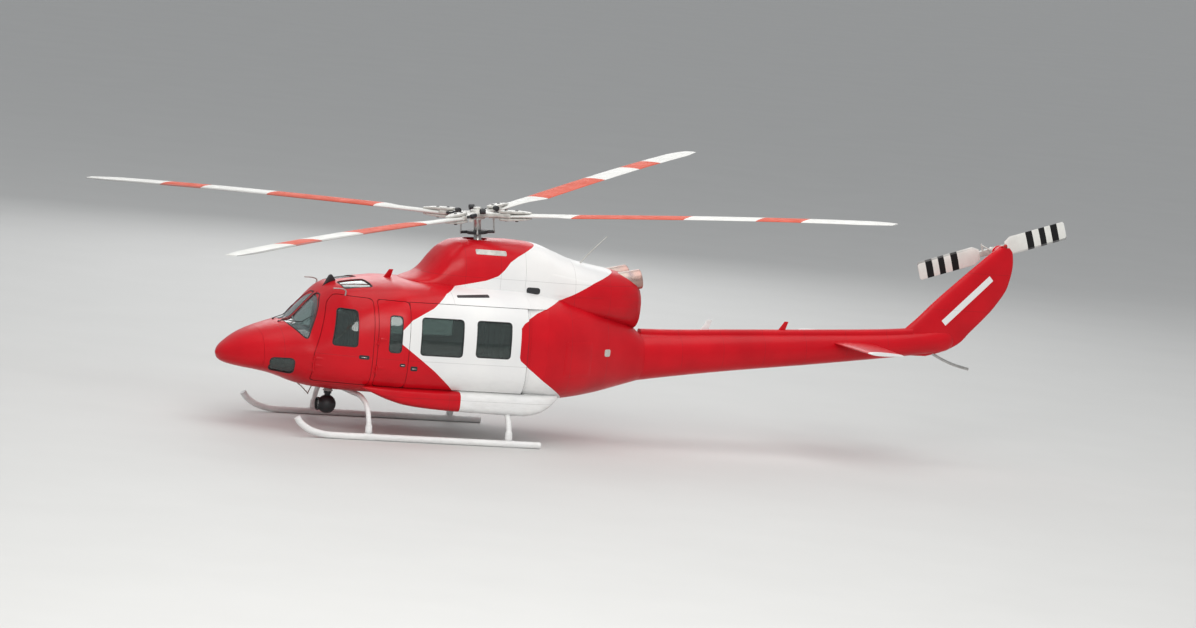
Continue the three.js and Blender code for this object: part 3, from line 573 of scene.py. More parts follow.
def slab(name, low, high, edge):
    """A block with softened edges: a superellipse section between the two corners, drawn in at both ends."""
    low, high = np.asarray(low, float), np.asarray(high, float)
    middle, half = (low + high) / 2, (high - low) / 2
    c, s = softened(0.22, 40)
    rings = []
    for z, pull, drop in ((-1, 1, 0), (-1, 0.35, 0.3), (-1, 0, 1), (1, 0, 1), (1, 0.35, 0.3), (1, 1, 0)):
        wide = half[:2] - edge * pull
        level = np.full(len(c), middle[2] + z * (half[2] - edge * drop))
        rings.append(np.stack([middle[0] + wide[0] * c, middle[1] + wide[1] * s, level], 1))
    return loft(name, rings)


def joined(name, parts):
    """Several objects as one mesh."""
    meshes = [p.data for p in parts]
    points = [vertex_places(m) for m in meshes]
    shift = np.cumsum([0] + [len(p) for p in points])
    faces = [tuple(v + s for v in f.vertices) for m, s in zip(meshes, shift) for f in m.polygons]
    for p in parts:
        bpy.data.objects.remove(p)
    return piece(name, np.vstack(points), faces)


# Materials
class Finish:
    """One material's nodes: each call adds a node and gives back its output."""

    def __init__(self, name, **shader):
        self.material = bpy.data.materials.new(name)
        self.material.use_nodes = True
        self.tree = self.material.node_tree
        self.shader = self.tree.nodes["Principled BSDF"]
        self.set(**shader)

    def set(self, **sockets):
        for key, value in sockets.items():
            self.put(self.shader.inputs[key.replace("_", " ")], value)
        return self.material

    def put(self, socket, value):
        if isinstance(value, bpy.types.NodeSocket):
            self.tree.links.new(value, socket)
        else:
            socket.default_value = value

    def node(self, kind, inputs=(), out=0, **settings):
        made = self.tree.nodes.new(kind)
        for key, value in settings.items():
            setattr(made, key, value)
        for key, value in dict(inputs).items():
            self.put(made.inputs[key], value)
        return made.outputs[out]

    def place(self):
        """The point on the piece: its vector and its x, y and z."""
        vector = self.node("ShaderNodeTexCoord", out=3)
        split = self.node("ShaderNodeSeparateXYZ", {0: vector}).node
        return vector, split.outputs[0], split.outputs[1], split.outputs[2]

    def math(self, operation, *values, clamp=False):
        return self.node("ShaderNodeMath", dict(enumerate(values)), operation=operation, use_clamp=clamp)

    def times(self, a, b, clamp=False):
        return self.math("MULTIPLY", a, b, clamp=clamp)

    def plus(self, a, b):
        return self.math("ADD", a, b)

    def minus(self, a, b):
        return self.math("SUBTRACT", a, b)

    def size(self, value):
        """The value without its sign."""
        return self.math("ABSOLUTE", value)

    def above(self, value, limit):
        return self.math("GREATER_THAN", value, limit)

    def below(self, value, limit):
        return self.math("LESS_THAN", value, limit)

    def mix(self, share, a, b):
        return self.node("ShaderNodeMix", {0: share, 6: a, 7: b}, out=2, data_type="RGBA")

    def tones(self, share, colour, darker):
        """A colour that runs to a darker one, its numbers times darker, as share runs from none to all."""
        return self.mix(share, (*colour[:3], 1), (*(c * darker for c in colour[:3]), 1))

    def noise(self, vector, scale, detail=3.0, roughness=0.5):
        inputs = {"Vector": vector, "Scale": scale, "Detail": detail, "Roughness": roughness}
        return self.node("ShaderNodeTexNoise", inputs)

    def stretched(self, vector, scale):
        return self.node("ShaderNodeMapping", {"Vector": vector, "Scale": scale})

    def between(self, value, low, high, to_low=0.0, to_high=1.0):
        """Value's way from low to high, as a number from to_low to to_high."""
        inputs = {0: value, 1: low, 2: high, 3: to_low, 4: to_high}
        return self.node("ShaderNodeMapRange", inputs)

    def steps(self, value, pairs):
        """A value that runs straight from one pair to the next: each pair is where and how much."""
        where, much = zip(*pairs)
        low, high = min(much), max(much)
        share = self.between(value, where[0], where[-1])
        ramp = self.node("ShaderNodeValToRGB", {0: share}).node
        stops = ramp.color_ramp.elements
        for i, (w, m) in enumerate(pairs):
            at = (w - where[0]) / (where[-1] - where[0])
            stop = stops[0] if i == 0 else stops[-1] if i == len(pairs) - 1 else stops.new(at)
            stop.position = at
            stop.color = [(m - low) / (high - low)] * 3 + [1]
        return self.between(ramp.outputs[0], 0.0, 1.0, low, high)

    def line(self, value, at, width):
        """One on the line where value is at, falling to zero a width away."""
        away = self.size(self.minus(value, at))
        return self.minus(1.0, self.between(away, 0.0, width))

    def most(self, values):
        total = values[0]
        for one in values[1:]:
            total = self.math("MAXIMUM", total, one)
        return total

    def bump(self, height, distance, strength=1.0, after=None):
        inputs = {"Height": height, "Distance": distance, "Strength": strength}
        if after is not None:
            inputs["Normal"] = after
        return self.node("ShaderNodeBump", inputs)


def add_seams(f, x, y, z, stations, heights):
    """Panel seams as shallow grooves at stations along the body and at heights, with a row of rivet heads
    beside each station: dots every 30 mm round the body."""
    groove = f.most([f.line(x, s + MAST_X, 0.003) for s in stations] + [f.line(z, h, 0.003) for h in heights])
    girth = f.plus(z, f.times(y, 0.7))
    step = f.size(f.minus(f.math("FRACT", f.math("DIVIDE", girth, 0.03)), 0.5))
    across = f.times(step, 0.03)
    heads = []
    for s in stations:
        aside = f.minus(f.size(f.minus(x, s + MAST_X)), 0.016)
        far = f.math("SQRT", f.plus(f.times(aside, aside), f.times(across, across)))
        heads.append(f.minus(1.0, f.between(far, 0.002, 0.0045)))
    return groove, f.most(heads) if heads else 0.0


def paint(name, kind, stations=(), heights=()):
    """Satin paint: red and white in straight-edged fields, a faint orange peel, dust that gathers low down, soot
    behind the exhausts, and panel seams with rivets."""
    f = Finish(name, Metallic=0.0, Coat_Weight=0.06, Coat_Roughness=0.16, Specular_IOR_Level=0.20)
    vector, x, y, z = f.place()
    tone = f.noise(vector, 1.7, 4.0)
    red = f.mix(f.between(tone, 0.35, 0.7), RED, (0.50, 0.003, 0.010, 1))
    white = f.mix(f.between(tone, 0.35, 0.7), WHITE, (0.78, 0.785, 0.785, 1))
    if kind == "body":
        behind = f.below(x, f.plus(f.steps(z, FRONT_EDGE), MAST_X))
        ahead = f.above(x, f.plus(f.steps(z, REAR_EDGE), MAST_X))
        base = f.mix(f.times(behind, ahead), red, white)
    elif kind == "fin":
        (x0, z0), (x1, z1) = FIN_STRIPE
        length = np.hypot(x1 - x0, z1 - z0)
        ux, uz = (x1 - x0) / length, (z1 - z0) / length
        dx, dz = f.minus(x, x0 + MAST_X), f.minus(z, z0)
        along = f.plus(f.times(dx, ux), f.times(dz, uz))
        aside = f.size(f.minus(f.times(dx, uz), f.times(dz, ux)))
        on = f.times(f.above(along, 0.0), f.below(along, length))
        base = f.mix(f.times(on, f.below(aside, 0.052)), red, white)
    elif kind == "tips":
        base = f.mix(f.above(f.size(y), WHITE_TIP), red, white)
    elif kind == "white":
        base = white
    else:
        base = red
    grime = f.noise(f.stretched(vector, (2.0, 2.0, 7.0)), 3.0, 6.0, 0.62)
    low = f.minus(1.0, f.between(z, 0.45, 1.15))
    soot = f.between(x, MAST_X - 1.9, MAST_X - 3.0)
    soot = f.times(soot, f.minus(1.0, f.between(x, MAST_X - 3.6, MAST_X - 6.5)))
    soot = f.times(soot, f.between(z, 1.60, 1.95))
    both = f.plus(f.times(low, 0.16), f.times(soot, 0.30))
    dirt = f.times(both, f.between(grime, 0.42, 0.75), clamp=True)
    base = f.mix(dirt, base, (0.055, 0.045, 0.040, 1))
    rough = f.plus(f.between(grime, 0.3, 0.8, 0.30, 0.42), f.times(dirt, 0.35))
    peel = f.bump(f.noise(vector, 90.0, 1.0), 0.0006, 0.12)
    if stations or heights:
        groove, heads = add_seams(f, x, y, z, stations, heights)
        base = f.mix(f.times(groove, 0.55), base, (0.03, 0.01, 0.01, 1))
        height = f.minus(f.times(heads, 0.4), groove)
        peel = f.bump(height, 0.002, 0.6, peel)
    return f.set(Base_Color=base, Roughness=rough, Normal=peel)


def plain(name, colour, roughness, metallic=0.0, grain=60.0, depth=0.0008, vary=0.25, **more):
    """A worn plain finish: two tones of one colour, a mottled roughness and a fine grain."""
    f = Finish(name, Metallic=metallic, **more)
    vector = f.place()[0]
    mottled = f.noise(vector, 9.0, 5.0, 0.6)
    base = f.tones(f.between(mottled, 0.35, 0.7), colour, 1 - vary)
    rough = f.between(mottled, 0.25, 0.8, roughness * 0.8, min(1.0, roughness * 1.25))
    return f.set(Base_Color=base, Roughness=rough, Normal=f.bump(f.noise(vector, grain, 3.0), depth, 0.4))


def brushed(name, colour, roughness=0.35, heat=False):
    """Bare metal with fine scratches along x, and straw and blue heat bands where it is hot."""
    f = Finish(name, Metallic=1.0)
    vector, x = f.place()[:2]
    scratch_lines = f.noise(f.stretched(vector, (4.0, 220.0, 220.0)), 1.0, 2.0)
    stain = f.noise(vector, 6.0, 5.0, 0.6)
    base = f.tones(f.between(stain, 0.35, 0.7), colour, 0.62)
    if heat:
        ring = f.between(x, MAST_X - 2.64, MAST_X - 2.3)
        base = f.mix(f.minus(1.0, ring), base, (0.50, 0.30, 0.26, 1))
        base = f.mix(f.times(f.between(stain, 0.5, 0.75), 0.5), base, (0.16, 0.15, 0.22, 1))
    rough = f.between(scratch_lines, 0.3, 0.7, roughness * 0.7, roughness * 1.4)
    return f.set(Base_Color=base, Roughness=rough, Normal=f.bump(scratch_lines, 0.0004, 0.3))


def tinted_glass(name, colour):
    """Tinted acrylic with a faint haze of dust and fine wiping marks."""
    f = Finish(name, IOR=1.45, Transmission_Weight=0.92, Coat_Weight=0.3, Coat_Roughness=0.03)
    vector = f.place()[0]
    haze = f.noise(f.stretched(vector, (3.0, 3.0, 9.0)), 2.0, 5.0, 0.6)
    hazy = (*(min(1.0, c * 1.15 + 0.02) for c in colour), 1)
    base = f.mix(f.between(haze, 0.4, 0.8), (*colour, 1), hazy)
    return f.set(Base_Color=base, Roughness=f.between(haze, 0.35, 0.8, 0.02, 0.08))


def woven(name, colour, scale=260.0):
    """Plain-weave seat cloth: two crossed waves for the threads, soft colour variation and a little sheen."""
    f = Finish(name, Metallic=0.0, Sheen_Weight=0.4, Sheen_Roughness=0.5)
    vector, x, y, z = f.place()
    warp = f.math("SINE", f.times(f.plus(x, z), scale * 3.1))
    weft = f.math("SINE", f.times(y, scale * 3.1))
    weave = f.times(warp, weft)
    worn = f.noise(vector, 7.0, 4.0)
    base = f.tones(f.between(worn, 0.3, 0.75), colour, 0.6)
    base = f.mix(f.between(weave, -1.0, 1.0, 0.0, 0.25), base, (0.22, 0.22, 0.23, 1))
    return f.set(Base_Color=base, Roughness=f.between(worn, 0.3, 0.8, 0.75, 0.95), Normal=f.bump(weave, 0.001, 0.5))


def quilted(name, colour):
    """Cabin lining: padded vinyl with stitched diamonds from two crossed sets of slanting lines."""
    f = Finish(name, Metallic=0.0, Sheen_Weight=0.15)
    vector, x, y, z = f.place()
    total, apart = f.plus(f.plus(x, y), z), f.minus(f.plus(x, y), z)
    waves = [f.size(f.math("SINE", f.times(v, 22.0))) for v in (total, apart)]
    puff = f.math("POWER", f.times(waves[0], waves[1]), 0.4)
    worn = f.noise(vector, 5.0, 4.0)
    base = f.tones(f.between(worn, 0.3, 0.75), colour, 0.7)
    return f.set(Base_Color=base, Roughness=f.between(worn, 0.3, 0.8, 0.5, 0.75), Normal=f.bump(puff, 0.006, 0.6))


def banded(name, bands, first, second):
    """Paint in bands along a blade, read from its UV map: u runs along the blade from the hub's middle to the tip, and
    v across it from the leading edge, which wears through to bare metal towards the tip."""
    f = Finish(name, Specular_IOR_Level=0.15)
    vector = f.place()[0]
    uv = f.node("ShaderNodeSeparateXYZ", {0: f.node("ShaderNodeUVMap", uv_map="blade")}).node
    u, v = uv.outputs[0], uv.outputs[1]
    on = [f.times(f.above(u, a), f.below(u, b)) for a, b in bands]
    tone = f.noise(f.stretched(vector, (3.0, 3.0, 3.0)), 2.0, 5.0, 0.6)
    pale = f.tones(f.between(tone, 0.3, 0.75), first, 0.86)
    strong = f.tones(f.between(tone, 0.3, 0.75), second, 0.85)
    base = f.mix(f.most(on), pale, strong)
    worn = f.times(f.below(v, 0.10), f.between(u, 0.3, 1.0, 0.15, 0.75))
    base = f.mix(worn, base, (0.20, 0.20, 0.20, 1))
    rough = f.plus(f.between(tone, 0.3, 0.8, 0.50, 0.65), f.times(worn, 0.15))
    peel = f.bump(f.noise(vector, 60.0, 2.0), 0.0006, 0.2)
    return f.set(Base_Color=base, Roughness=rough, Normal=peel)


def display():
    """A dark glass display with faint level lines of green over a brown and a blue half."""
    f = Finish("display_glass", Roughness=0.12, Coat_Weight=0.5, Coat_Roughness=0.03)
    z = f.place()[3]
    lines = f.above(f.math("SINE", f.times(z, 320.0)), 0.93)
    sky = f.mix(f.above(z, 1.285), (0.05, 0.03, 0.01, 1), (0.01, 0.03, 0.06, 1))
    base = f.mix(lines, sky, (0.12, 0.30, 0.20, 1))
    return f.set(Base_Color=base)


PAINT = paint("body_paint", "body", (2.10, 0.62, -1.32, -2.05), (0.66,))
NOSE_PAINT = paint("nose_paint", "body", (3.10,), ())
DOOR_PAINT = paint("door_paint", "body", (), (1.22,))
COWL_PAINT = paint("cowling_paint", "body", (0.30, -0.25, -1.42, -2.02), (2.46,))
BOOM_PAINT = paint("boom_paint", "red", (-3.45, -4.15, -4.85, -5.55, -6.25, -6.95), ())
FIN_PAINT = paint("fin_paint", "fin", (), (2.35, 2.95))
RED_PAINT = paint("red_paint_plain", "red")
STABILISER_PAINT = paint("red_paint_white_tips", "tips")
WHITE_PAINT = paint("white_paint_plain", "white")
LINING = quilted("cabin_lining", (0.15, 0.15, 0.155))
GLAZING = tinted_glass("window_tint", (0.26, 0.34, 0.32))
SCREEN = tinted_glass("windscreen_tint", (0.46, 0.56, 0.56))
RUBBER = plain("black_rubber", (0.016, 0.016, 0.018), 0.62, grain=120.0)
DARK = plain("dark_coating", (0.028, 0.029, 0.032), 0.48, 0.2, grain=80.0)
GREY = plain("grey_enamel", (0.42, 0.42, 0.41), 0.40, 0.1, grain=70.0)
PALE_GREY = plain("pale_grey_enamel", (0.62, 0.61, 0.57), 0.38, 0.05, grain=70.0, vary=0.35)
STEEL = brushed("bare_steel", (0.56, 0.55, 0.53))
HOT_STEEL = brushed("hot_steel", (0.58, 0.50, 0.44), 0.32, heat=True)
SEAT_CLOTH = woven("seat_cloth", (0.050, 0.056, 0.070))
WEBBING = woven("harness_webbing", (0.09, 0.09, 0.095), 420.0)
BENCH_CLOTH = woven("bench_cloth", (0.060, 0.066, 0.075))
FLOORING = plain("cabin_flooring", (0.10, 0.10, 0.105), 0.7, grain=180.0, depth=0.0015)
BEACON = tinted_glass("beacon_lens", (0.80, 0.05, 0.03))
DISPLAY = display()
LENS = tinted_glass("lamp_lens", (0.92, 0.94, 0.95))
BLADE = banded("blade_paint", [(0.25, 0.52), (0.69, 0.795)], (0.80, 0.80, 0.77), (0.66, 0.085, 0.036))
TAIL_BLADE = banded("tail_blade_paint", [(0.47, 0.56), (0.65, 0.73), (0.81, 0.90)],
                    (0.82, 0.82, 0.78), (0.014, 0.014, 0.015))


# The cabin's shell
def inner_space():
    """The cabin's room: the body less its walls, over the floor, in two boxes."""
    room = tool(body("room", HULL, SKIN))
    nose = tool(duplicate(room, "nose_room"))
    carved(room, keep=[span(BULKHEAD + END_WALL, NOSE_BACK, FLOOR_Z)])
    carved(nose, keep=[span(NOSE_BACK - 0.01, NOSE_SPLIT - FRONT_WALL, FLOOR_Z)])
    return [room, nose]


def door_ways():
    """The recess along the rear of the body that each sliding door moves in: a lane less the deeper body."""
    rear = SLIDING_DOOR[0][0]
    core = tool(body("core", DOOR_CORE, RECESS, step=4.0))
    lanes = []
    for side in (1, -1):
        y = sorted((side * SIDE_IN, side * OUT))
        lane = block(rear - TRAVEL - 0.04, rear - 0.001, *y, SILL - DOOR_GAP, LINTEL + DOOR_GAP)
        lanes.append(carved(lane, cut=[core]))
    return lanes


def cabin_shell(lanes):
    """The skin with its doorways and window openings, split where the real panels meet."""
    skin = tool(body("skin", HULL))
    cuts = inner_space() + lanes
    for side in (1, -1):
        for outline in (CREW_DOOR, PANEL_DOOR):
            cuts.append(side_cut(grown(outline, DOOR_GAP), CORNER, DOOR_IN - DOOR_GAP, side))
        cuts.append(side_cut(grown(SLIDING_DOOR, DOOR_GAP), 0, SIDE_IN, side))
        cuts.append(side_cut(WINDSCREEN, 0.05, CENTRE_POST, side))
        cuts.append(side_cut(CHIN_WINDOW, 0.07, 0.25, side))
        cuts.append(top_cut(ROOF_WINDOW, 2.0, 2.6, side))
    carved(skin, cut=cuts, keep=[span(BULKHEAD, NOSE_SPLIT)])
    foot = FLOOR_Z + 2 * GAP
    parts_of = {
        "cabin_floor": [(BULKHEAD, NOSE_BACK - GAP, 0.0, FLOOR_Z)],
        "nose_section": [(NOSE_BACK, NOSE_SPLIT, 0.0, TOP), (POST_FRONT + GAP, NOSE_BACK + 0.001, foot, TOP)],
        "aft_bulkhead": [(BULKHEAD, -0.300, foot, ROOF_SPLIT - GAP)],
        "cabin_roof": [(BULKHEAD, POST_FRONT, ROOF_SPLIT, TOP), (1.700, POST_FRONT, foot, ROOF_SPLIT + 0.001)],
    }
    for name, boxes in parts_of.items():
        made, *extra = [carved(duplicate(skin, name), keep=[span(*room)]) for room in boxes]
        carved(made, join=extra)
        scratch.extend(extra)
        made.name = name + "_skin"
        polish(made, HULL, inner=SKIN, more=[(DOOR_CORE, RECESS, 0)])
        colours = NOSE_PAINT if name == "nose_section" else PAINT
        middles, normals = face_places(made, "center"), face_places(made, "normal")
        give_material(made, 2, (np.abs(middles[:, 2] - FLOOR_Z) < 0.003) & (normals[:, 2] > 0.9))
        ends = MAST_X + np.array((BULKHEAD + END_WALL, SLIDING_DOOR[0][0] - DOOR_GAP, NOSE_SPLIT - FRONT_WALL))
        at_end = (np.abs(middles[:, :1] - ends) < 0.003).any(1)
        give_material(made, 1, at_end & (np.abs(normals[:, 0]) > 0.9))
        finish_piece(made, [colours, LINING, FLOORING], name)


def cabin_deck():
    """The cabin's floor panel: a thin raised plate with rounded corners and tie-down studs in rows."""
    ring = rounded([(0.08, -1.0), (1.56, -1.0), (1.56, 1.0), (0.08, 1.0)], 0.04, step=0.2)
    levels = (FLOOR_Z - 0.002, FLOOR_Z + 0.008)
    deck = loft("cabin_deck", [points_at(ring[:, 0], ring[:, 1], z) for z in levels])
    finish_piece(shade(deck), FLOORING)
    stud = [(0, 0.024), (0.001, 0.024), (0.001, 0.016), (0.0005, 0.008)]
    studs = [turned("stud", (x + MAST_X, y, levels[1]), UP, stud, 12)
             for x in (0.25, 0.65, 1.05, 1.40) for y in (-0.8, -0.27, 0.27, 0.8)]
    finish_piece(shade(joined("deck_studs", studs)), STEEL)


def gasket(name, path, width, proud=0.004, ride="airframe"):
    """A rubber strip round an opening: a small rounded profile carried along a closed path on the body."""
    shoulder, crest = (width, proud * 0.4), (width * 0.5, proud)
    profile = [(-width, -proud), (width, -proud), shoulder, crest, (-crest[0], crest[1]), (-shoulder[0], shoulder[1])]
    made = loft(name, swept(path, profile, outward(HULL, path), closed=True), ring=True)
    return finish_piece(shade(made, 60), RUBBER, ride=ride)


def seal(name, outline, radius, side, depth, width, proud, ride="airframe"):
    """A gasket along a rounded side-view outline laid on the body."""
    ring = rounded(outline, radius, step=0.05)
    return gasket(name, side_points(HULL, ring[:, 0], ring[:, 1], side, depth), width, proud, ride)


def spread(path, apart):
    """A path's points that lie at least apart from the last one kept."""
    kept = [path[0]]
    for point in path[1:]:
        if np.linalg.norm(point - kept[-1]) > apart and np.linalg.norm(point - path[0]) > apart * 0.9:
            kept.append(point)
    return np.array(kept)


def windscreen_path(side):
    """The windscreen opening's edge: on the side where the outline meets it, and along the post where it is above."""
    ring = rounded(WINDSCREEN, 0.05, step=0.008)
    crest = top_points(HULL, ring[:, 0], CENTRE_POST)[:, 2]
    on_side = ring[:, 1] < crest
    path = side_points(HULL, ring[:, 0], np.minimum(ring[:, 1], crest - 1e-4), side)
    path[~on_side] = top_points(HULL, ring[~on_side, 0], side * CENTRE_POST)
    path[:, 1] = side * np.maximum(side * path[:, 1], CENTRE_POST)
    path = spread(path, 0.018)
    for _ in range(2):
        path = (np.roll(path, 1, 0) + 2 * path + np.roll(path, -1, 0)) / 4
    return path


HINGES = {
    "crew_door": (2.704, 0.966, (1.000, 1.112)),
    "hinged_panel": (1.816, 1.252, (1.050, 1.480)),
}
KNUCKLE = 0.013  # a hinge knuckle's radius
KNUCKLE_HIGH = 0.056
SWING = 0.469  # a hinged panel's reach behind its hinge


def hinge_half(name, kind, end, side):
    """Half of a door's outer hinges: round knuckles on an upright axis, each with a strap that lies on its panel and
    narrows along it. end is -1 for the door's half and 1 for the frame's."""
    x, y, heights = HINGES[kind]
    parts = []
    for z in heights:
        low, high = (z + GAP, z + KNUCKLE_HIGH) if end < 0 else (z - KNUCKLE_HIGH, z)
        middle, half = (low + high) / 2, (high - low) / 2
        knuckle = [(0, KNUCKLE - 0.001), (0.001, KNUCKLE), (2 * half - 0.001, KNUCKLE), (2 * half, KNUCKLE - 0.001)]
        parts.append(turned("knuckle", (x + MAST_X, side * y, low), UP, knuckle, 20))
        reach = 0.130 if end < 0 else 0.060
        lying = side_points(HULL, x + end * np.linspace(0.026, reach, 4), np.full(4, middle), side)
        path = smooth_path([(x + MAST_X, side * y, middle), *lying], 16)
        profile = [(-half, -0.004), (half, -0.004), (half, 0.003), (half - 0.003, 0.005), (0.003 - half, 0.005),
                   (-half, 0.003)]
        rings = swept(path, profile, outward(HULL, path))
        taper = np.interp(np.arange(16), [0, 6, 14, 15], [1, 0.9, 0.45, 0.3])[:, None, None]
        parts.append(loft("strap", path[:, None] + (rings - path[:, None]) * taper))
    rider = "airframe" if end > 0 else kind + ("_left" if side > 0 else "_right")
    return finish_piece(shade(joined(name, parts)), DOOR_PAINT, ride=rider)


def swing_cut():
    """What a hinged panel has to lose behind its hinge to turn clear of the sliding door: all beyond a round arc."""
    x, y, _ = HINGES["hinged_panel"]
    arc = tool(turned("arc", (x + MAST_X, y, 0.5), UP, [(0, SWING), (1.0, SWING), (2.0, SWING)], 180))
    return carved(block(x - 0.6, x, SIDE_IN, y, 0.6, 2.4), cut=[arc])


def layer(name, outer, inner):
    """The body's shell between two depths, to cut panels from."""
    core = tool(body(name + "_core", HULL, inner))
    return carved(tool(body(name, HULL, outer)), cut=[core])


def doors():
    """Doors with their windows cut, their panes, and the gaskets of both. Gives back the layer panes are cut from."""
    door_layer = layer("door_layer", 0.0, DOOR_THICK)
    pane_layer = layer("pane_layer", PANE_DEPTH, PANE_DEPTH + GLASS)
    plans = [
        ("crew_door", CREW_DOOR, [CREW_WINDOW], CORNER),
        ("hinged_panel", PANEL_DOOR, [PANEL_WINDOW], CORNER),
        ("sliding_door", SLIDING_DOOR, SLIDING_WINDOWS, 0),
    ]
    for kind, outline, windows, radius in plans:
        left = duplicate(door_layer, kind + "_skin_left")
        cuts = [side_cut(w) for w in windows]
        if kind == "hinged_panel":
            cuts.append(swing_cut())
        carved(left, keep=[side_cut(outline, radius, DOOR_IN)], cut=cuts)
        for made, side in pair(left):
            polish(made, HULL, inner=DOOR_THICK)
            finish_piece(made, [DOOR_PAINT, LINING], kind + "_" + side, ride=kind + "_" + side)
        for sign, side in SIDES:
            edge = grown(outline, DOOR_GAP / 2)
            seal(kind + "_edge_seal_" + side, edge, max(radius, 0.004), sign, 0.012, 0.0034, 0.006)
        for i, window in enumerate(windows):
            name = kind + "_glass" + ("" if len(windows) == 1 else ("_rear" if i else "_front"))
            pane = carved(duplicate(pane_layer, name + "_pane_left"), keep=[side_cut(grown(window, -HAIR))])
            for made, side in pair(pane):
                polish(made, HULL, PANE_DEPTH, PANE_DEPTH + GLASS)
                finish_piece(made, GLAZING, name + "_" + side, ride=kind + "_" + side)
            for sign, side in SIDES:
                seal(name + "_seal_" + side, window, CORNER, sign, 0.002, 0.008, 0.0035, kind + "_" + side)
    return pane_layer


def fixed_glass(pane_layer):
    """Windscreen halves, roof windows and chin windows: layers inside the skin, with their gaskets."""
    plans = [
        ("windscreen", side_cut(grown(WINDSCREEN, -HAIR), 0.05, CENTRE_POST + HAIR), SCREEN),
        ("roof_window", top_cut(grown(ROOF_WINDOW, -HAIR), 2.0, 2.6), GLAZING),
        ("chin_window", side_cut(grown(CHIN_WINDOW, -HAIR), 0.07, 0.25), GLAZING),
    ]
    for name, opening, glass in plans:
        for made, side in pair(carved(duplicate(pane_layer, name + "_pane_left"), keep=[opening])):
            polish(made, HULL, PANE_DEPTH, PANE_DEPTH + GLASS)
            finish_piece(made, glass, name + "_" + side)
    for sign, side in SIDES:
        seal("chin_window_seal_" + side, CHIN_WINDOW, 0.07, sign, 0.002, 0.009, 0.004)
        ring = rounded(ROOF_WINDOW, CORNER, step=0.05)
        gasket("roof_window_seal_" + side, top_points(HULL, ring[:, 0], sign * ring[:, 1], 0.002), 0.009)
        gasket("windscreen_seal_" + side, windscreen_path(sign), 0.010, 0.004)


def nose_and_rear(lanes):
    """The hollow nose door and the hollow rear fuselage."""
    nose = body("nose_door_skin", HULL, step=0.02, back=3.0)
    hollow = tool(body("nose_hollow", HULL, NOSE_WALL, front=3.8, back=3.2))
    carved(hollow, keep=[span(NOSE_SPLIT - 0.01, 3.85)])
    carved(nose, keep=[span(NOSE_SPLIT + 0.003, 4.1)], cut=[hollow])
    polish(nose, HULL, inner=NOSE_WALL)
    finish_piece(nose, [NOSE_PAINT, DARK], "nose_door")
    rear = body("aft_fuselage_skin", HULL, step=0.03, front=0.0)
    hold = tool(body("hold", HULL, AFT_WALL, front=0.2, back=-2.7))
    carved(rear, keep=[span(-3.0, BULKHEAD - 0.002)], cut=lanes + [hold])
    polish(rear, HULL, inner=AFT_WALL, more=[(DOOR_CORE, RECESS, 0)])
    finish_piece(rear, [PAINT, DARK], "aft_fuselage")


EXHAUST_FROM = np.array((-2.150, 0.250, 2.450))
EXHAUST_TO = np.array((-2.640, 0.300, 2.560))
EXHAUST_RADIUS = 0.152
EXHAUST_WALL = 0.014


def exhaust_bore(start, end, radius, side):
    """The cutting tool for an exhaust's hole: a straight round bar between two points, x from the mast."""
    flip = np.array((1, side, 1))
    a, b = start * flip + (MAST_X, 0, 0), end * flip + (MAST_X, 0, 0)
    profile = [(share * np.linalg.norm(b - a), radius) for share in (0, 0.33, 0.66, 1)]
    return tool(turned("hole", a, b - a, profile, 48))


def cowlings():
    """The pylon fairing round the mast and the engine cowling behind it, hollow, with the two exhausts."""
    core = tool(body("cowl_core", COWL, COWL_WALL, front=0.85, back=-2.60))
    shell = carved(tool(body("cowl_shell", COWL, step=0.03)), cut=[core, under_hull(0.05)])
    hole = tool(turned("mast_hole", (MAST_X, 0, 2.8), UP, [(0, 0.19), (0.2, 0.19), (0.4, 0.19)], 48))
    pylon = duplicate(shell, "pylon_fairing_skin")
    carved(pylon, keep=[span(PYLON_SPLIT + 0.003, 1.4, 1.9, 3.2)], cut=[hole])
    polish(pylon, COWL, inner=COWL_WALL)
    finish_piece(pylon, [COWL_PAINT, DARK], "pylon_fairing")
    engine = carved(duplicate(shell, "engine_cowling_skin"), keep=[span(-3.0, PYLON_SPLIT, 1.7, 3.2)])
    along = EXHAUST_TO - EXHAUST_FROM
    ends = EXHAUST_FROM - along * 0.3, EXHAUST_TO + along * 0.3
    carved(engine, cut=[exhaust_bore(*ends, EXHAUST_RADIUS, sign) for sign in (1, -1)])
    polish(engine, COWL, inner=COWL_WALL)
    finish_piece(engine, [COWL_PAINT, DARK], "engine_cowling")
    outer, inner = EXHAUST_RADIUS - 0.0004, EXHAUST_RADIUS - EXHAUST_WALL
    for sign, side in SIDES:
        flip = np.array((1, sign, 1))
        a, b = EXHAUST_FROM * flip + (MAST_X, 0, 0), EXHAUST_TO * flip + (MAST_X, 0, 0)
        far = np.linalg.norm(b - a)
        profile = [(0, outer), (far * 0.5, outer), (far - 0.02, outer), (far - 0.006, outer), (far, outer - 0.004),
                   (far, inner + 0.004), (far - 0.006, inner), (far * 0.5, inner), (0.03, inner), (0.03, 0.01)]
        made = shade(turned("exhaust_pipe_" + side, a, b - a, profile, 48))
        finish_piece(made, HOT_STEEL, "exhaust_" + side)


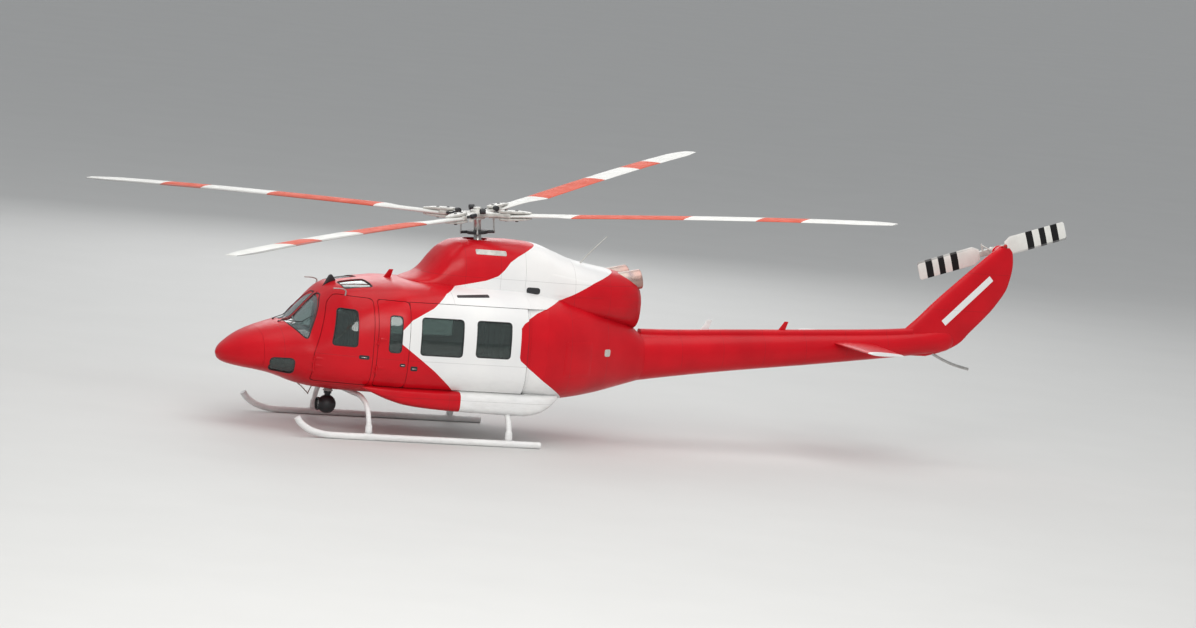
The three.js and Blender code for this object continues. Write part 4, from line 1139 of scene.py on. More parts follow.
# Tail
FIN = np.array([
    [1.600, -7.200, -7.700, 0.060], [1.700, -7.140, -8.020, 0.085], [1.850, -7.150, -8.270, 0.095],
    [2.000, -7.280, -8.400, 0.098], [2.200, -7.490, -8.590, 0.095], [2.450, -7.730, -8.800, 0.090],
    [2.780, -8.080, -8.985, 0.085], [3.100, -8.430, -9.035, 0.078], [3.300, -8.660, -9.010, 0.066],
    [3.380, -8.790, -8.950, 0.050],
])
STABILISER = np.array([
    [0.100, -6.020, -6.760, 0.045], [1.000, -6.080, -6.700, 0.038], [1.430, -6.110, -6.670, 0.030],
])
STABILISER_Z = 1.740


def leaf(lead, trail, thick, around=40):
    """A leaf-shaped section, full near its leading edge: x from the leading edge to the trailing edge as a cosine,
    and a sine's height that shrinks by half on the way back."""
    a = np.linspace(0, 2 * np.pi, around, endpoint=False)
    back = (1 - np.cos(a)) / 2
    return lead + (trail - lead) * back, thick * np.sin(a) * (1 - 0.5 * back)


def table_rows(rows, steps):
    """A table's rows at even steps of its first column: the same cubics as the body's."""
    falling = rows[np.argsort(-rows[:, 0])]
    at = np.linspace(rows[0, 0], rows[-1, 0], steps)
    return np.stack([at] + [column(falling, key, at) for key in range(1, rows.shape[1])], 1)


def tail():
    """Boom, fin, driveshaft cover, stabilisers and tail skid."""
    rows = np.vstack([BOOM, TAIL_CONE])
    boom = body("tail_boom_skin", rows, step=0.03, around=96)
    core = tool(body("boom_core", BOOM, BOOM_WALL, 0.2, 48, -2.7, -6.9))
    carved(boom, keep=[span(-9.0, BOOM_START - 0.002)], cut=[core])
    polish(boom, rows)
    finish_piece(boom, BOOM_PAINT, "tail_boom")
    around_boom = tool(body("around_boom", rows, -GAP, step=0.03, around=96))
    rings = []
    for z, lead, trail, thick in table_rows(FIN, 60):
        x, y = leaf(lead, trail, thick)
        rings.append(points_at(x, y, z))
    fin = carved(loft("tail_fin_skin", rings), cut=[around_boom])
    finish_piece(shade(fin, 40), FIN_PAINT, "tail_fin")
    x = np.linspace(-2.83, -7.40, 90)
    base = column(BOOM, 3, x) - 0.06
    half = [(0.085, 0), (0.085, 0.07), (0.078, 0.092), (0.062, 0.110), (0.040, 0.120)]
    arch = [(-0.085, 0)] + half + [(-y, z) for y, z in half[:0:-1]]
    y, z = np.array(arch).T
    rings = [points_at(s, y, b + z) for s, b in zip(x, base)]
    cover = carved(loft("driveshaft_cover_skin", rings), cut=[around_boom, tool(duplicate(fin, "fin_cut"))])
    finish_piece(shade(cover, 30), BOOM_PAINT, "driveshaft_cover")
    rings = []
    for y, lead, trail, thick in table_rows(STABILISER, 24):
        x, z = leaf(lead, trail, thick)
        rings.append(points_at(x, y, STABILISER_Z + z))
    for made, side in pair(carved(loft("stabiliser_skin_left", rings), cut=[around_boom])):
        finish_piece(shade(made, 40), STABILISER_PAINT, "stabiliser_" + side)
    guard = side_path([(-7.65, 1.74), (-7.85, 1.62), (-8.15, 1.50), (-8.45, 1.43)], 0, 30)
    made = carved(pipe("tail_skid_tube", guard, 0.022, (0, 1, 0)), cut=[around_boom])
    finish_piece(shade(made, 50), STEEL, "tail_skid")


# Rotors
def tilted(points, angle, at):
    """Points turned about the y axis and moved to a place."""
    c, s = np.cos(angle), np.sin(angle)
    return np.stack([c * points[..., 0] + s * points[..., 2], points[..., 1],
                     -s * points[..., 0] + c * points[..., 2]], -1) + at


def rotor_points(points):
    """Points from the main rotor's own axes to the frame: turned by the first blade's angle, tilted with the mast."""
    return tilted(about_z(points, BLADE_AZIMUTH), MAST_TILT, HUB)


def about_z(points, angle):
    """Points turned about their own z axis."""
    c, s = np.cos(angle), np.sin(angle)
    p = np.asarray(points, float)
    return np.stack([c * p[..., 0] - s * p[..., 1], s * p[..., 0] + c * p[..., 1], p[..., 2]], -1)


def tail_points(points):
    """Points from the tail rotor's own axes to the frame: tilted about the y axis through its hub."""
    return tilted(np.asarray(points, float), TAIL_TILT, TAIL_HUB)


def blade_map(made, radius, around, count):
    """The blade's UV map: u is the ring's radius as a share of the rotor's, v the way round from the leading edge."""
    places = made.data.uv_layers.new(name="blade")
    corners = read(made.data.loops, "vertex_index")
    u = np.append(np.repeat(radius, around), [radius[0], radius[-1]])
    back = (1 - np.cos(np.linspace(0, 2 * np.pi, around, endpoint=False))) / 2
    v = np.append(np.tile(back, count), [0.5, 0.5])
    places.data.foreach_set("uv", np.stack([u[corners], v[corners]], 1).ravel())


BLADE_ROWS = np.array([
    [0.6203, 0.190, 0.042, 0.095], [0.900, 0.200, 0.038, 0.100], [1.350, 0.250, 0.032, 0.105],
    [1.800, 0.400, 0.026, 0.110], [4.200, 0.400, 0.024, 0.110], [6.500, 0.400, 0.022, 0.110],
    [6.850, 0.300, 0.016, 0.060], [7.010, 0.220, 0.010, 0.010],
])


def main_blades():
    """Four blades: sections of chord, thickness and sweep from a table, rising towards the tip as they cone."""
    rows = table_rows(BLADE_ROWS, 110)
    around = 32
    rings = []
    for r, chord, thick, lead in rows:
        y, z = leaf(lead, lead - chord, thick, around)
        rise = 0.048 * (r - 0.62) * (1 - 0.3 * (r / ROTOR_RADIUS) ** 2)
        rings.append(np.stack([np.full(around, r), y, z + rise], 1))
    for i in range(4):
        made = loft("main_blade_%d" % (i + 1), rotor_points(about_z(rings, i * np.pi / 2)))
        blade_map(made, rows[:, 0] / ROTOR_RADIUS, around, len(rows))
        finish_piece(shade(made, 50), BLADE, "rotor_blade_%d" % (i + 1), ride="main_rotor")


def bar(name, sections):
    """A bar along x through sections of x, half width, middle height and half height: superelliptic rings."""
    c, s = softened(0.35, 28)
    return loft(name, [np.stack(np.broadcast_arrays(x, w * c, m + h * s), 1) for x, w, m, h in sections])


def on_mast(part, angle=0.0):
    """A part of the rotor head, moved from the rotor's own axes and turned about the mast."""
    return placed(part, lambda p: rotor_points(about_z(p, angle)))


def rotor_head():
    """Hub: crossed yokes, blade grips, lead-lag dampers, swinging weights, pitch horns and links, and the mast with
    its cap and swashplate."""
    arm = [(0.0, 0.110, 0, 0.040), (0.16, 0.108, 0, 0.040), (0.26, 0.080, 0.002, 0.030), (0.40, 0.074, 0.004, 0.026),
           (0.52, 0.092, 0.006, 0.036), (0.60, 0.100, 0.006, 0.038), (0.6199, 0.085, 0.006, 0.030)]
    grip = [(0.40, 0.050, 0.014), (0.44, 0.075, 0.020), (0.60, 0.085, 0.022), (0.78, 0.070, 0.018),
            (0.92, 0.040, 0.012)]
    plates = {"grip": (0.058, 0.060, 0.062, 0.062, 0.056), "grip_low": (-0.052, -0.054, -0.052, -0.040, -0.028)}
    pin = [(0, 0.018), (0.006, 0.026), (0.03, 0.026), (0.031, 0.020), (0.145, 0.020), (0.146, 0.026), (0.170, 0.026),
           (0.176, 0.018)]
    damper = [(0, 0.010), (0.01, 0.032), (0.13, 0.032), (0.14, 0.014), (0.20, 0.014), (0.21, 0.022), (0.24, 0.022),
              (0.25, 0.008)]
    weight = [(0, 0.02), (0.006, 0.042), (0.084, 0.042), (0.09, 0.02)]
    horn = [(0.18, 0.022, -0.040, 0.016), (0.30, 0.020, -0.046, 0.014), (0.44, 0.026, -0.046, 0.018)]
    yokes, grips, dark = [], [], []
    for angle in np.arange(4) * np.pi / 2:
        yokes.append(on_mast(bar("arm", arm), angle))
        for name, levels in plates.items():
            rows = [(x, wide, level, thick) for (x, wide, thick), level in zip(grip, levels)]
            grips.append(on_mast(bar(name, rows), angle))
        for radius in (0.50, 0.68):
            dark.append(on_mast(turned("pin", (radius, 0, -0.085), UP, pin, 20), angle))
        dark.append(on_mast(turned("damper", (0.23, 0.10, 0.012), (1, 0, 0), damper, 20), angle))
        dark.append(on_mast(turned("weight", (0.30, -0.045, 0.075), (0, 1, 0), weight, 24), angle + np.pi / 4))
        grips.append(on_mast(bar("horn", horn), angle + 0.28))
    cap = [(0, 0.118), (0.01, 0.120), (0.10, 0.112), (0.135, 0.100), (0.150, 0.060), (0.175, 0.055), (0.178, 0.030),
           (0.1797, 0.012)]
    yokes.append(on_mast(turned("cap", (0, 0, -0.0697), UP, cap, 36)))
    finish_piece(shade(joined("rotor_yokes", yokes)), PALE_GREY, "rotor_hub", ride="main_rotor")
    finish_piece(shade(joined("blade_grips", grips)), PALE_GREY, ride="main_rotor")
    finish_piece(shade(joined("rotor_dampers", dark)), DARK, ride="main_rotor")
    tube = [(0, 0.064), (0.004, 0.065), (0.30, 0.065), (0.31, 0.058), (0.60, 0.058), (0.61, 0.065), (0.63, 0.065)]
    mast = on_mast(turned("rotor_mast_tube", (0, 0, -0.70), UP, tube, 36))
    finish_piece(shade(mast), STEEL, "rotor_mast", ride="main_rotor")
    spoke = [(0, 0.025), (0.12, 0.022), (0.155, 0.025)]
    dish = [(0, 0.120), (0.006, 0.160), (0.028, 0.165), (0.054, 0.160), (0.060, 0.110)]
    rod = [(0, 0.010), (0.006, 0.018), (0.04, 0.018), (0.055, 0.011), (0.19, 0.011), (0.205, 0.018), (0.243, 0.018),
           (0.249, 0.010)]
    swash, links = [on_mast(turned("dish", (0, 0, -0.30), UP, dish, 40))], []
    for angle in np.arange(4) * np.pi / 2 + 0.5:
        at = np.array((0.250 * np.cos(angle), 0.250 * np.sin(angle), 0))
        swash.append(on_mast(turned("arm", at * 0.4 + (0, 0, -0.27), at, spoke, 20)))
        links.append(on_mast(turned("link", at + (0, 0, -0.29), UP, rod, 16)))
    finish_piece(shade(joined("swashplate_ring", swash)), DARK, "swashplate", ride="main_rotor")
    finish_piece(shade(joined("pitch_links", links)), STEEL, ride="main_rotor")


def tail_rotor():
    """Two blades on a short yoke, with pitch horns and links, on the gearbox at the fin's head."""
    around = 32
    radius = np.linspace(0.230, TAIL_RADIUS, 50)
    thick = np.interp(radius, [0.230, 0.500, TAIL_RADIUS], [0.026, 0.022, 0.014])
    chord = np.interp(radius, [0.230, 0.330, TAIL_RADIUS - 0.02, TAIL_RADIUS], [0.085, 0.146, 0.146, 0.120])
    for side in (0, 1):
        rings = []
        for r, t, c in zip(radius, thick, chord):
            z, y = leaf(c, -c, t, around)
            rings.append(np.stack([np.full(around, r), y, z], 1))
        rings = np.array(rings) * ((1, 1, 1) if side == 0 else (-1, 1, -1))
        made = loft("tail_blade_%d" % (side + 1), tail_points(rings))
        blade_map(made, radius / TAIL_RADIUS, around, len(radius))
        finish_piece(shade(made, 50), TAIL_BLADE, "tail_rotor", ride="tail_rotor")
    shaft = [(0, 0.044), (0.004, 0.045), (0.11, 0.045), (0.12, 0.060), (0.20, 0.060), (0.225, 0.045), (0.2397, 0.020)]
    yoke = [(-0.235, 0.028, 0, 0.040), (-0.18, 0.034, 0, 0.050), (0, 0.035, 0, 0.050), (0.18, 0.034, 0, 0.050),
            (0.235, 0.028, 0, 0.040)]
    horn = [(0, 0.014), (0.05, 0.012), (0.09, 0.016), (0.11, 0.010)]
    link = [(0, 0.010), (0.01, 0.012), (0.14, 0.008), (0.15, 0.010)]
    parts = [turned("shaft", (0, 0.1697, 0), (0, -1, 0), shaft, 28), bar("yoke", yoke)]
    for sign in (1, -1):
        parts.append(turned("horn", (sign * 0.17, 0.02, sign * 0.05), (0, 0, sign), horn, 14))
        parts.append(turned("link", (sign * 0.17, 0.03, sign * 0.135), (-sign * 0.10, 0.10, -sign * 0.10), link, 12))
    parts = [placed(part, tail_points) for part in parts]
    finish_piece(shade(joined("tail_rotor_yoke", parts)), PALE_GREY, ride="tail_rotor")
    profile = [(0.03, 0.118), (0.06, 0.120), (0.11, 0.108), (0.16, 0.104), (0.17, 0.112), (0.185, 0.112),
               (0.195, 0.096), (0.235, 0.092), (0.2499, 0.060)]
    case = turned("tail_gearbox_case", (TAIL_HUB[0], 0.0, TAIL_HUB[2]), (0, -1, 0), profile, 36)
    carved(case, cut=[tool(duplicate(bpy.data.objects["tail_fin_skin"], "fin_cut"))])
    finish_piece(shade(case, 40), RED_PAINT, "tail_gearbox")


# Landing gear
SKID_Y = 1.330
SKID_R = 0.050
SKID_Z = 0.051
SKID_PATH = [(-0.87, SKID_Z), (-0.40, SKID_Z), (0.60, SKID_Z), (1.90, SKID_Z), (2.30, SKID_Z), (2.58, 0.062),
             (2.80, 0.120), (2.95, 0.215), (3.01, 0.290)]  # x, z
BOW_PATH = [(SKID_Y, SKID_R + 0.020), (1.300, 0.260), (1.160, 0.470), (0.850, 0.585), (0.400, 0.595)]  # y, z
CROSS_TUBES = {"front": (1.870, 0.038), "rear": (-0.360, 0.042)}  # x, radius
FAIRING = np.array([
    [1.960, 1.080, 1.150, 0.760, 0.775], [1.800, 1.000, 1.205, 0.690, 0.784], [1.540, 0.920, 1.248, 0.595, 0.784],
    [1.260, 0.860, 1.262, 0.528, 0.784], [0.900, 0.830, 1.266, 0.492, 0.784], [0.400, 0.820, 1.266, 0.470, 0.784],
    [-0.600, 0.820, 1.255, 0.455, 0.784], [-0.850, 0.830, 1.225, 0.500, 0.784], [-1.050, 0.850, 1.160, 0.610, 0.784],
    [-1.170, 0.880, 1.080, 0.720, 0.782],
])


def skid_curve(side, count=90):
    """A skid's middle line, which turns up at the toe."""
    return side_path(SKID_PATH, side * SKID_Y, count)


def bow_curve(x):
    """A cross tube's middle line, bowed from skid to skid under the body."""
    half = [(x + MAST_X, y, z) for y, z in BOW_PATH]
    return smooth_path([(p[0], -p[1], p[2]) for p in half] + half[::-1], 120)


def cuff(name, way, marks, radii, side, around):
    """A pipe along a path whose radius runs through radii at marks, from 0 at its start to 1 at its end."""
    return pipe(name, way, np.interp(np.linspace(0, 1, len(way)), marks, radii), side, around)


def landing_gear():
    """Skids with clamps and saddles, bowed cross tubes, and the long side fairings."""
    for sign, side in SIDES:
        skid = pipe("skid_tube_" + side, skid_curve(sign), SKID_R, (0, 1, 0), 28)
        finish_piece(shade(skid, 50), WHITE_PAINT, "skid_" + side)
        clamps = []
        for x, radius in CROSS_TUBES.values():
            way = smooth_path([(x + MAST_X, sign * y, h) for y, h in BOW_PATH], 60)[3:14]
            radii = radius + np.array((0.006, 0.016, 0.012, 0.004))
            clamps.append(cuff("collar", way, [0, 0.15, 0.85, 1], radii, (1, 0, 0), 24))
            way = skid_curve(sign, 400)
            way = way[np.abs(way[:, 0] - x - MAST_X) < 0.11][::3]
            radii = SKID_R + np.array((0.001, 0.006, 0.006, 0.001))
            clamps.append(cuff("saddle", way, [0, 0.08, 0.92, 1], radii, (0, 1, 0), 28))
        made = carved(joined("skid_clamps_" + side, clamps), cut=[block(-9.0, 9.0, -3.0, 3.0, -1.0, 0.0005)])
        finish_piece(shade(made, 50), WHITE_PAINT)
    for name, (x, radius) in CROSS_TUBES.items():
        tube = pipe("cross_tube_bow_" + name, bow_curve(x), radius, (1, 0, 0), 24)
        skids = [tool(pipe("skid_cut", skid_curve(s), SKID_R + GAP, (0, 1, 0), 28)) for s in (1, -1)]
        carved(tube, cut=[under_hull(0.1)] + skids)
        finish_piece(shade(tube, 50), WHITE_PAINT, "cross_tube_" + name)
    c, s = softened(2 / 3.4, 64)
    rings = []
    for x, inner, outer, low, high in table_rows(FAIRING, 90):
        y = (inner + outer) / 2 + (outer - inner) / 2 * c
        rings.append(points_at(x, y, (low + high) / 2 + (high - low) / 2 * s))
    x, radius = CROSS_TUBES["rear"]
    bow = tool(pipe("bow_cut", bow_curve(x), radius + 0.0004, (1, 0, 0), 24))
    for made, side in pair(carved(loft("side_fairing_skin_left", rings), cut=[under_hull(0.05), bow])):
        finish_piece(shade(made, 40), PAINT, "side_fairing_" + side)


# Inside
CLOTH_STEPS = 20
SEAT_X = 1.745  # the crew seats' backs
SEAT_Y = 0.540


def swollen(made, cap):
    """The block as stuffed fabric: its mesh in small squares, blown up for twenty steps of a cloth simulation without
    gravity, where no point moves further than cap."""
    squares = made.modifiers.new("squares", "REMESH")
    squares.mode = "VOXEL"
    squares.voxel_size = 0.006
    settled(made)
    rest = vertex_places(made.data)
    cloth = made.modifiers.new("cloth", "CLOTH")
    cloth.settings.quality = 4
    cloth.settings.use_pressure = True
    cloth.settings.uniform_pressure_force = 4
    cloth.settings.effector_weights.gravity = 0
    cloth.point_cache.frame_end = CLOTH_STEPS
    for step in range(1, CLOTH_STEPS + 1):
        bpy.context.scene.frame_set(step)
    settled(made)
    moved = vertex_places(made.data) - rest
    far = np.linalg.norm(moved, axis=1, keepdims=True)
    moved *= np.minimum(1, cap / np.maximum(far, 1e-9))
    made.data.vertices.foreach_set("co", (rest + moved).ravel())
    bpy.context.scene.frame_set(1)
    return made


def sewn(made, low, high, channels):
    """Sewn lines pressed into a cushion: bell-shaped valleys across its top at even places along y, and one round its
    sides above half height."""
    points = vertex_places(made.data)
    middle = (low + high) / 2
    lines = low[1] + (high[1] - low[1]) * np.arange(1, channels + 1) / (channels + 1)
    near = np.abs(points[:, 1, None] - lines).min(1) if channels else np.full(len(points), 1.0)
    edge = np.abs((points[:, :2] - middle[:2]) / (high - low)[:2] * 2).max(1)
    top = np.clip((points[:, 2] - middle[2]) / (high[2] - middle[2]), 0, 1)
    points[:, 2] -= 0.013 * np.exp(-(near / 0.009) ** 2) * top * np.clip((1 - edge) / 0.12, 0, 1)
    seam = np.exp(-((points[:, 2] - (low[2] * 0.3 + high[2] * 0.7)) / 0.006) ** 2) * np.clip((edge - 0.86) / 0.1, 0, 1)
    points[:, :2] -= (points[:, :2] - middle[:2]) / (high - low)[:2] * 2 * 0.006 * seam[:, None]
    made.data.vertices.foreach_set("co", points.ravel())
    return shade(made, 80)


def cushion(name, low, high, channels=0, crown=0.014, cap=0.012):
    """A padded block between two corners: rings of a superellipse whose top swells by crown in the middle, started
    slightly small, then blown up and sewn."""
    low, high = np.asarray(low, float), np.asarray(high, float)
    middle, half = (low + high) / 2, (high - low) / 2 - 0.6 * cap
    c, s = softened(0.32, 96)
    flat = np.linspace(0.02, 0.97, 26)
    wall = np.linspace(-0.9, 0.9, 9)
    share = np.concatenate([flat, 1 - 0.02 * wall**2, flat[::-1]])[:, None]
    level = np.concatenate([np.full(26, -1.0), wall, np.ones(26)])[:, None]
    swell = crown * (1 - (share / 0.97) ** 4).clip(0) * (level == 1)
    x, y = middle[0] + half[0] * share * c, middle[1] + half[1] * share * s
    z = np.broadcast_to(middle[2] + level * (half[2] - crown) + swell, x.shape)
    return sewn(swollen(loft(name, np.stack([x, y, z], -1)), cap), low, high, channels)


def soft_piece(source, name, at, material, node=(), upright=False):
    """A copy of a cushion in its place, stood on end if upright with its faces turned outwards again."""
    made = placed(duplicate(source, name), lambda p: (p[:, [2, 1, 0]] if upright else p) + at)
    if upright:
        made.data.flip_normals()
    finish_piece(made, material, node)


def box(name, x, y, z, radius):
    """A rounded box between two values of x from the mast, of y and of z."""
    return slab(name, (MAST_X + x[0], y[0], z[0]), (MAST_X + x[1], y[1], z[1]), radius)


def crew_seats():
    """Two crew seats: a shell, a seat cushion, a back cushion with sewn channels, a headrest, legs and a harness."""
    seat = tool(cushion("seat", (1.850, -0.22, 1.020), (2.305, 0.22, 1.168), 3))
    back = tool(cushion("back", (0.0, -0.215, 0.0), (0.56, 0.215, 0.105), 3))
    head = tool(cushion("head", (0.0, -0.11, 0.0), (0.13, 0.11, 0.085), 0, 0.008, 0.008))
    leg = [(0, 0.022), (0.01, 0.016), (0.19, 0.016), (0.196, 0.014)]
    tape = [(-0.022, -0.0015), (0.022, -0.0015), (0.022, 0.0015), (-0.022, 0.0015)]
    belt = [(1.760, 1.0, 1.800), (1.862, 1.0, 1.700), (1.876, 0.9, 1.450), (1.878, 0.5, 1.220), (1.925, 0.3, 1.180)]
    for sign, side in SIDES:
        middle = sign * SEAT_Y
        node = "crew_seat_" + side
        soft_piece(seat, "seat_cushion_" + side, (MAST_X, middle, 0), SEAT_CLOTH, node)
        soft_piece(back, "seat_back_" + side, (MAST_X + SEAT_X, middle, 1.150), SEAT_CLOTH, node, True)
        soft_piece(head, "headrest_" + side, (MAST_X + SEAT_X, middle, 1.725), SEAT_CLOTH, upright=True)
        wide = (middle - 0.24, middle + 0.24)
        shell = [box("pan", (1.830, 2.310), wide, (0.985, 1.024), 0.012),
                 box("shell", (1.722, 1.752), wide, (0.990, 1.800), 0.010)]
        for x in (1.90, 2.24):
            for y in (wide[0] + 0.05, wide[1] - 0.05):
                shell.append(turned("leg", (MAST_X + x, y, FLOOR_Z + 0.001), UP, leg, 14))
        finish_piece(shade(joined("seat_frame_" + side, shell), 40), DARK)
        straps = []
        for offset in (-0.09, 0.09):
            path = smooth_path([(MAST_X + x, middle + offset * share, z) for x, share, z in belt], 40)
            straps.append(loft("strap", swept(path, tape, (1, 0, 0.3))))
        straps.append(box("buckle", (1.905, 1.965), (middle - 0.03, middle + 0.03), (1.176, 1.192), 0.004))
        finish_piece(shade(joined("harness_" + side, straps), 40), WEBBING)


def bench_and_panel():
    """The rear bench's cushions on a frame, and the instrument panel with its hood, screens and round dials."""
    seat = tool(cushion("seat", (-0.425, -0.34, 1.00), (-0.062, 0.34, 1.138)))
    back = tool(cushion("back", (0, -0.34, 0), (0.62, 0.34, 0.10), 2))
    for part, middle in (("left", 0.70), ("middle", 0.0), ("right", -0.70)):
        soft_piece(seat, "bench_seat_" + part, (MAST_X, middle, 0), BENCH_CLOTH, "cabin_bench")
        soft_piece(back, "bench_back_" + part, (MAST_X - 0.526, middle, 1.150), BENCH_CLOTH, "cabin_bench", True)
    parts = [box("pan", (-0.525, -0.065), (-1.045, 1.045), (0.965, 1.005), 0.008)]
    leg = [(0, 0.020), (0.008, 0.014), (0.17, 0.014), (0.176, 0.012)]
    for y in (-1.0, -0.34, 0.34, 1.0):
        for x in (-0.12, -0.48):
            parts.append(turned("leg", (MAST_X + x, y, FLOOR_Z + 0.001), UP, leg, 12))
    finish_piece(shade(joined("bench_frame", parts), 40), GREY)
    finish_piece_node("instrument_panel", DARK)
    y = np.linspace(-0.66, 0.66, 40)
    x, z = np.array([(2.560, -0.030), (2.600, -0.045), (2.72, -0.030), (2.72, -0.004), (2.60, 0), (2.548, -0.006)]).T
    hood = [points_at(x, b, r + z) for b, r in zip(y, 1.478 - 0.10 * np.abs(y / 0.66) ** 4)]
    finish_piece(shade(loft("panel_hood", hood), 40), RUBBER)
    screens = [box("screen", (2.558, 2.5705), (y - 0.10, y + 0.10), (1.19, 1.38), 0.003)
               for y in (-0.52, -0.27, 0.27, 0.52)]
    finish_piece(shade(joined("panel_screens", screens), 40), DISPLAY)
    round_dial = [(0, 0.036), (0.010, 0.036), (0.012, 0.032), (0.008, 0.030), (0.008, 0.004)]
    dials = [turned("dial", (MAST_X + 2.570, y, z), (-1, 0, 0), round_dial, 20)
             for y in (-0.09, 0.0, 0.09) for z in (1.33, 1.24, 1.15)]
    finish_piece(shade(joined("panel_dials", dials), 40), DARK)


def finish_piece_node(name, material):
    """A frame node that keeps its shape and gets a better material."""
    node = frame["nodes"][name]
    for slot in node.material_slots:
        slot.material = material
    return node


def controls():
    """The console between the seats with its knobs, the overhead panel, and each pilot's stick, lever and pedals."""
    knob = [(0, 0.012), (0.012, 0.011), (0.014, 0.006)]
    foot = [(0, 0.03), (0.01, 0.02), (0.145, 0.014)]
    arm = [(0, 0.012), (0.04, 0.010), (0.08, 0.010)]
    parts = [box("console", (1.96, 2.555), (-0.13, 0.13), (FLOOR_Z + 0.001, 1.10), 0.012),
             box("overhead", (1.62, 1.96), (-0.12, 0.12), (2.185, 2.215), 0.010)]
    for x in np.arange(2.02, 2.50, 0.08):
        for y in (-0.08, -0.03, 0.03, 0.08):
            parts.append(turned("knob", (MAST_X + x, y, 1.098), UP, knob, 12))
    finish_piece(shade(joined("cockpit_console", parts), 40), DARK)
    stick = [(2.44, FLOOR_Z), (2.46, 0.98), (2.42, 1.20), (2.385, 1.36)]
    thick = np.interp(np.arange(40), [0, 2, 28, 30, 37, 39], [0.030, 0.014, 0.012, 0.019, 0.021, 0.012])
    raised = [(1.86, 0.93), (2.06, 1.02), (2.22, 1.10)]
    grip = np.interp(np.arange(30), [0, 18, 19, 28, 29], [0.012, 0.012, 0.019, 0.019, 0.010])
    for sign, side in SIDES:
        y = sign * SEAT_Y
        beside = y + 0.285
        made = [pipe("stick", side_path(stick, y, 40), thick, (0, 1, 0), 14),
                pipe("lever", side_path(raised, beside, 30), grip, (0, 1, 0), 14),
                turned("post", (MAST_X + 1.86, beside, FLOOR_Z), UP, foot, 14)]
        for middle in (y - 0.11, y + 0.11):
            made.append(box("pedal", (2.655, 2.675), (middle - 0.045, middle + 0.045), (0.86, 0.96), 0.006))
            made.append(turned("pedal_arm", (MAST_X + 2.668, middle, FLOOR_Z), UP, arm, 12))
        finish_piece(shade(joined("controls_" + side, made), 50), RUBBER)


# Outside fittings
WIRE_GUARD = [(2.375, 2.090), (2.270, 2.300), (2.225, 2.310), (2.150, 2.215)]


def lever(name, x, z, side, ride, length):
    """A door handle: a rounded bar held off its plate on two short feet, lying along the side."""
    at = side_points(HULL, x, z, side)
    out = outward(HULL, at)
    along = np.cross(out, UP) * -side
    along /= np.linalg.norm(along)
    start = at + 0.017 * out - along * length / 2
    held = turned("bar", start, along, [(0, 0.003), (0.004, 0.007), (length - 0.004, 0.007), (length, 0.003)], 14)
    foot = [(0, 0.006), (0.008, 0.005), (0.016, 0.006)]
    feet = [turned("foot", start + along * share * length, -out, foot, 12) for share in (0.16, 0.84)]
    return finish_piece(shade(joined(name, [held, *feet]), 50), STEEL, ride=ride)


def searchlight():
    """The lamp under the nose: a round housing with cooling ribs, a bezel, a lens and a mirror, a neck and a mount."""
    x, y, z, radius = 2.200 + MAST_X, 0.250, 0.375, 0.140
    ball = [(radius * (1 - np.cos(t)), radius * np.sin(t)) for t in np.linspace(0.12, np.pi - 0.62, 24)]
    bezel = [(0.225, 0.094), (0.274, 0.096), (0.276, 0.100), (0.296, 0.100), (0.296, 0.086), (0.266, 0.084),
             (0.266, 0.01)]
    housing = turned("searchlight_housing", (x - radius, y, z), (1, 0, 0), ball + bezel, 40)
    finish_piece(shade(housing, 30), DARK, "searchlight", ride="searchlight")
    ribs = []
    for far, r in ((0.030, 0.092), (0.050, 0.112), (0.070, 0.126), (0.090, 0.135)):
        rib = [(0, r - 0.004), (0.001, r), (0.005, r), (0.006, r - 0.004)]
        ribs.append(turned("rib", (x - radius + far, y, z), (1, 0, 0), rib, 36))
    neck = [(0, 0.050), (0.02, 0.045), (0.07, 0.045), (0.075, 0.060), (0.100, 0.060), (0.1097, 0.050)]
    ribs.append(turned("neck", (x, y, z + 0.09), UP, neck, 28))
    finish_piece(shade(joined("searchlight_ribs", ribs), 40), DARK, ride="searchlight")
    front = [(0, 0.084), (0.004, 0.084), (0.010, 0.060), (0.013, 0.02)]
    lens = turned("searchlight_lens", (x + 0.124, y, z), (1, 0, 0), front, 36)
    finish_piece(shade(lens, 50), LENS, ride="searchlight")
    disc = [(0, 0.083), (0.0015, 0.083), (0.0018, 0.04), (0.002, 0.01)]
    bright = turned("searchlight_mirror", (x + 0.121, y, z), (1, 0, 0), disc, 36)
    finish_piece(shade(bright, 50), STEEL, ride="searchlight")
    base = [(0, 0.070), (0.004, 0.075), (0.020, 0.075), (0.024, 0.062), (0.075, 0.062), (0.080, 0.072), (0.14, 0.072)]
    mount = turned("searchlight_bracket", (x, y, 0.5753), UP, base, 32)
    carved(mount, cut=[under_hull(0.1)])
    finish_piece(shade(mount, 40), GREY, "searchlight_mount")


def rectangle(x0, x1, z0, z1):
    """A rectangle's outline in the side view."""
    return [(x0, z0), (x1, z0), (x1, z1), (x0, z1)]


def plate(name, outline, side, material, slot="dark_metal", rows=HULL, proud=0.003, radius=0.02, ride="airframe"):
    """A thin cover that follows the body's side: rings shrunk towards the outline's middle, laid on the body and
    raised by proud, with a rim that meets the skin."""
    ring = rounded(outline, radius, step=0.04)
    middle = ring.mean(0)
    levels = [(0.02, -0.002), (1.0, -0.002), (1.0, proud * 0.6)]
    levels += [(share, proud) for share in (0.985, 0.75, 0.5, 0.25, 0.02)]
    rings = []
    for share, lift in levels:
        points = side_points(rows, *(middle + (ring - middle) * share).T, side)
        rings.append(points + lift * outward(rows, points))
    return finish_piece(shade(loft(name, rings), 40), material, ride=ride)


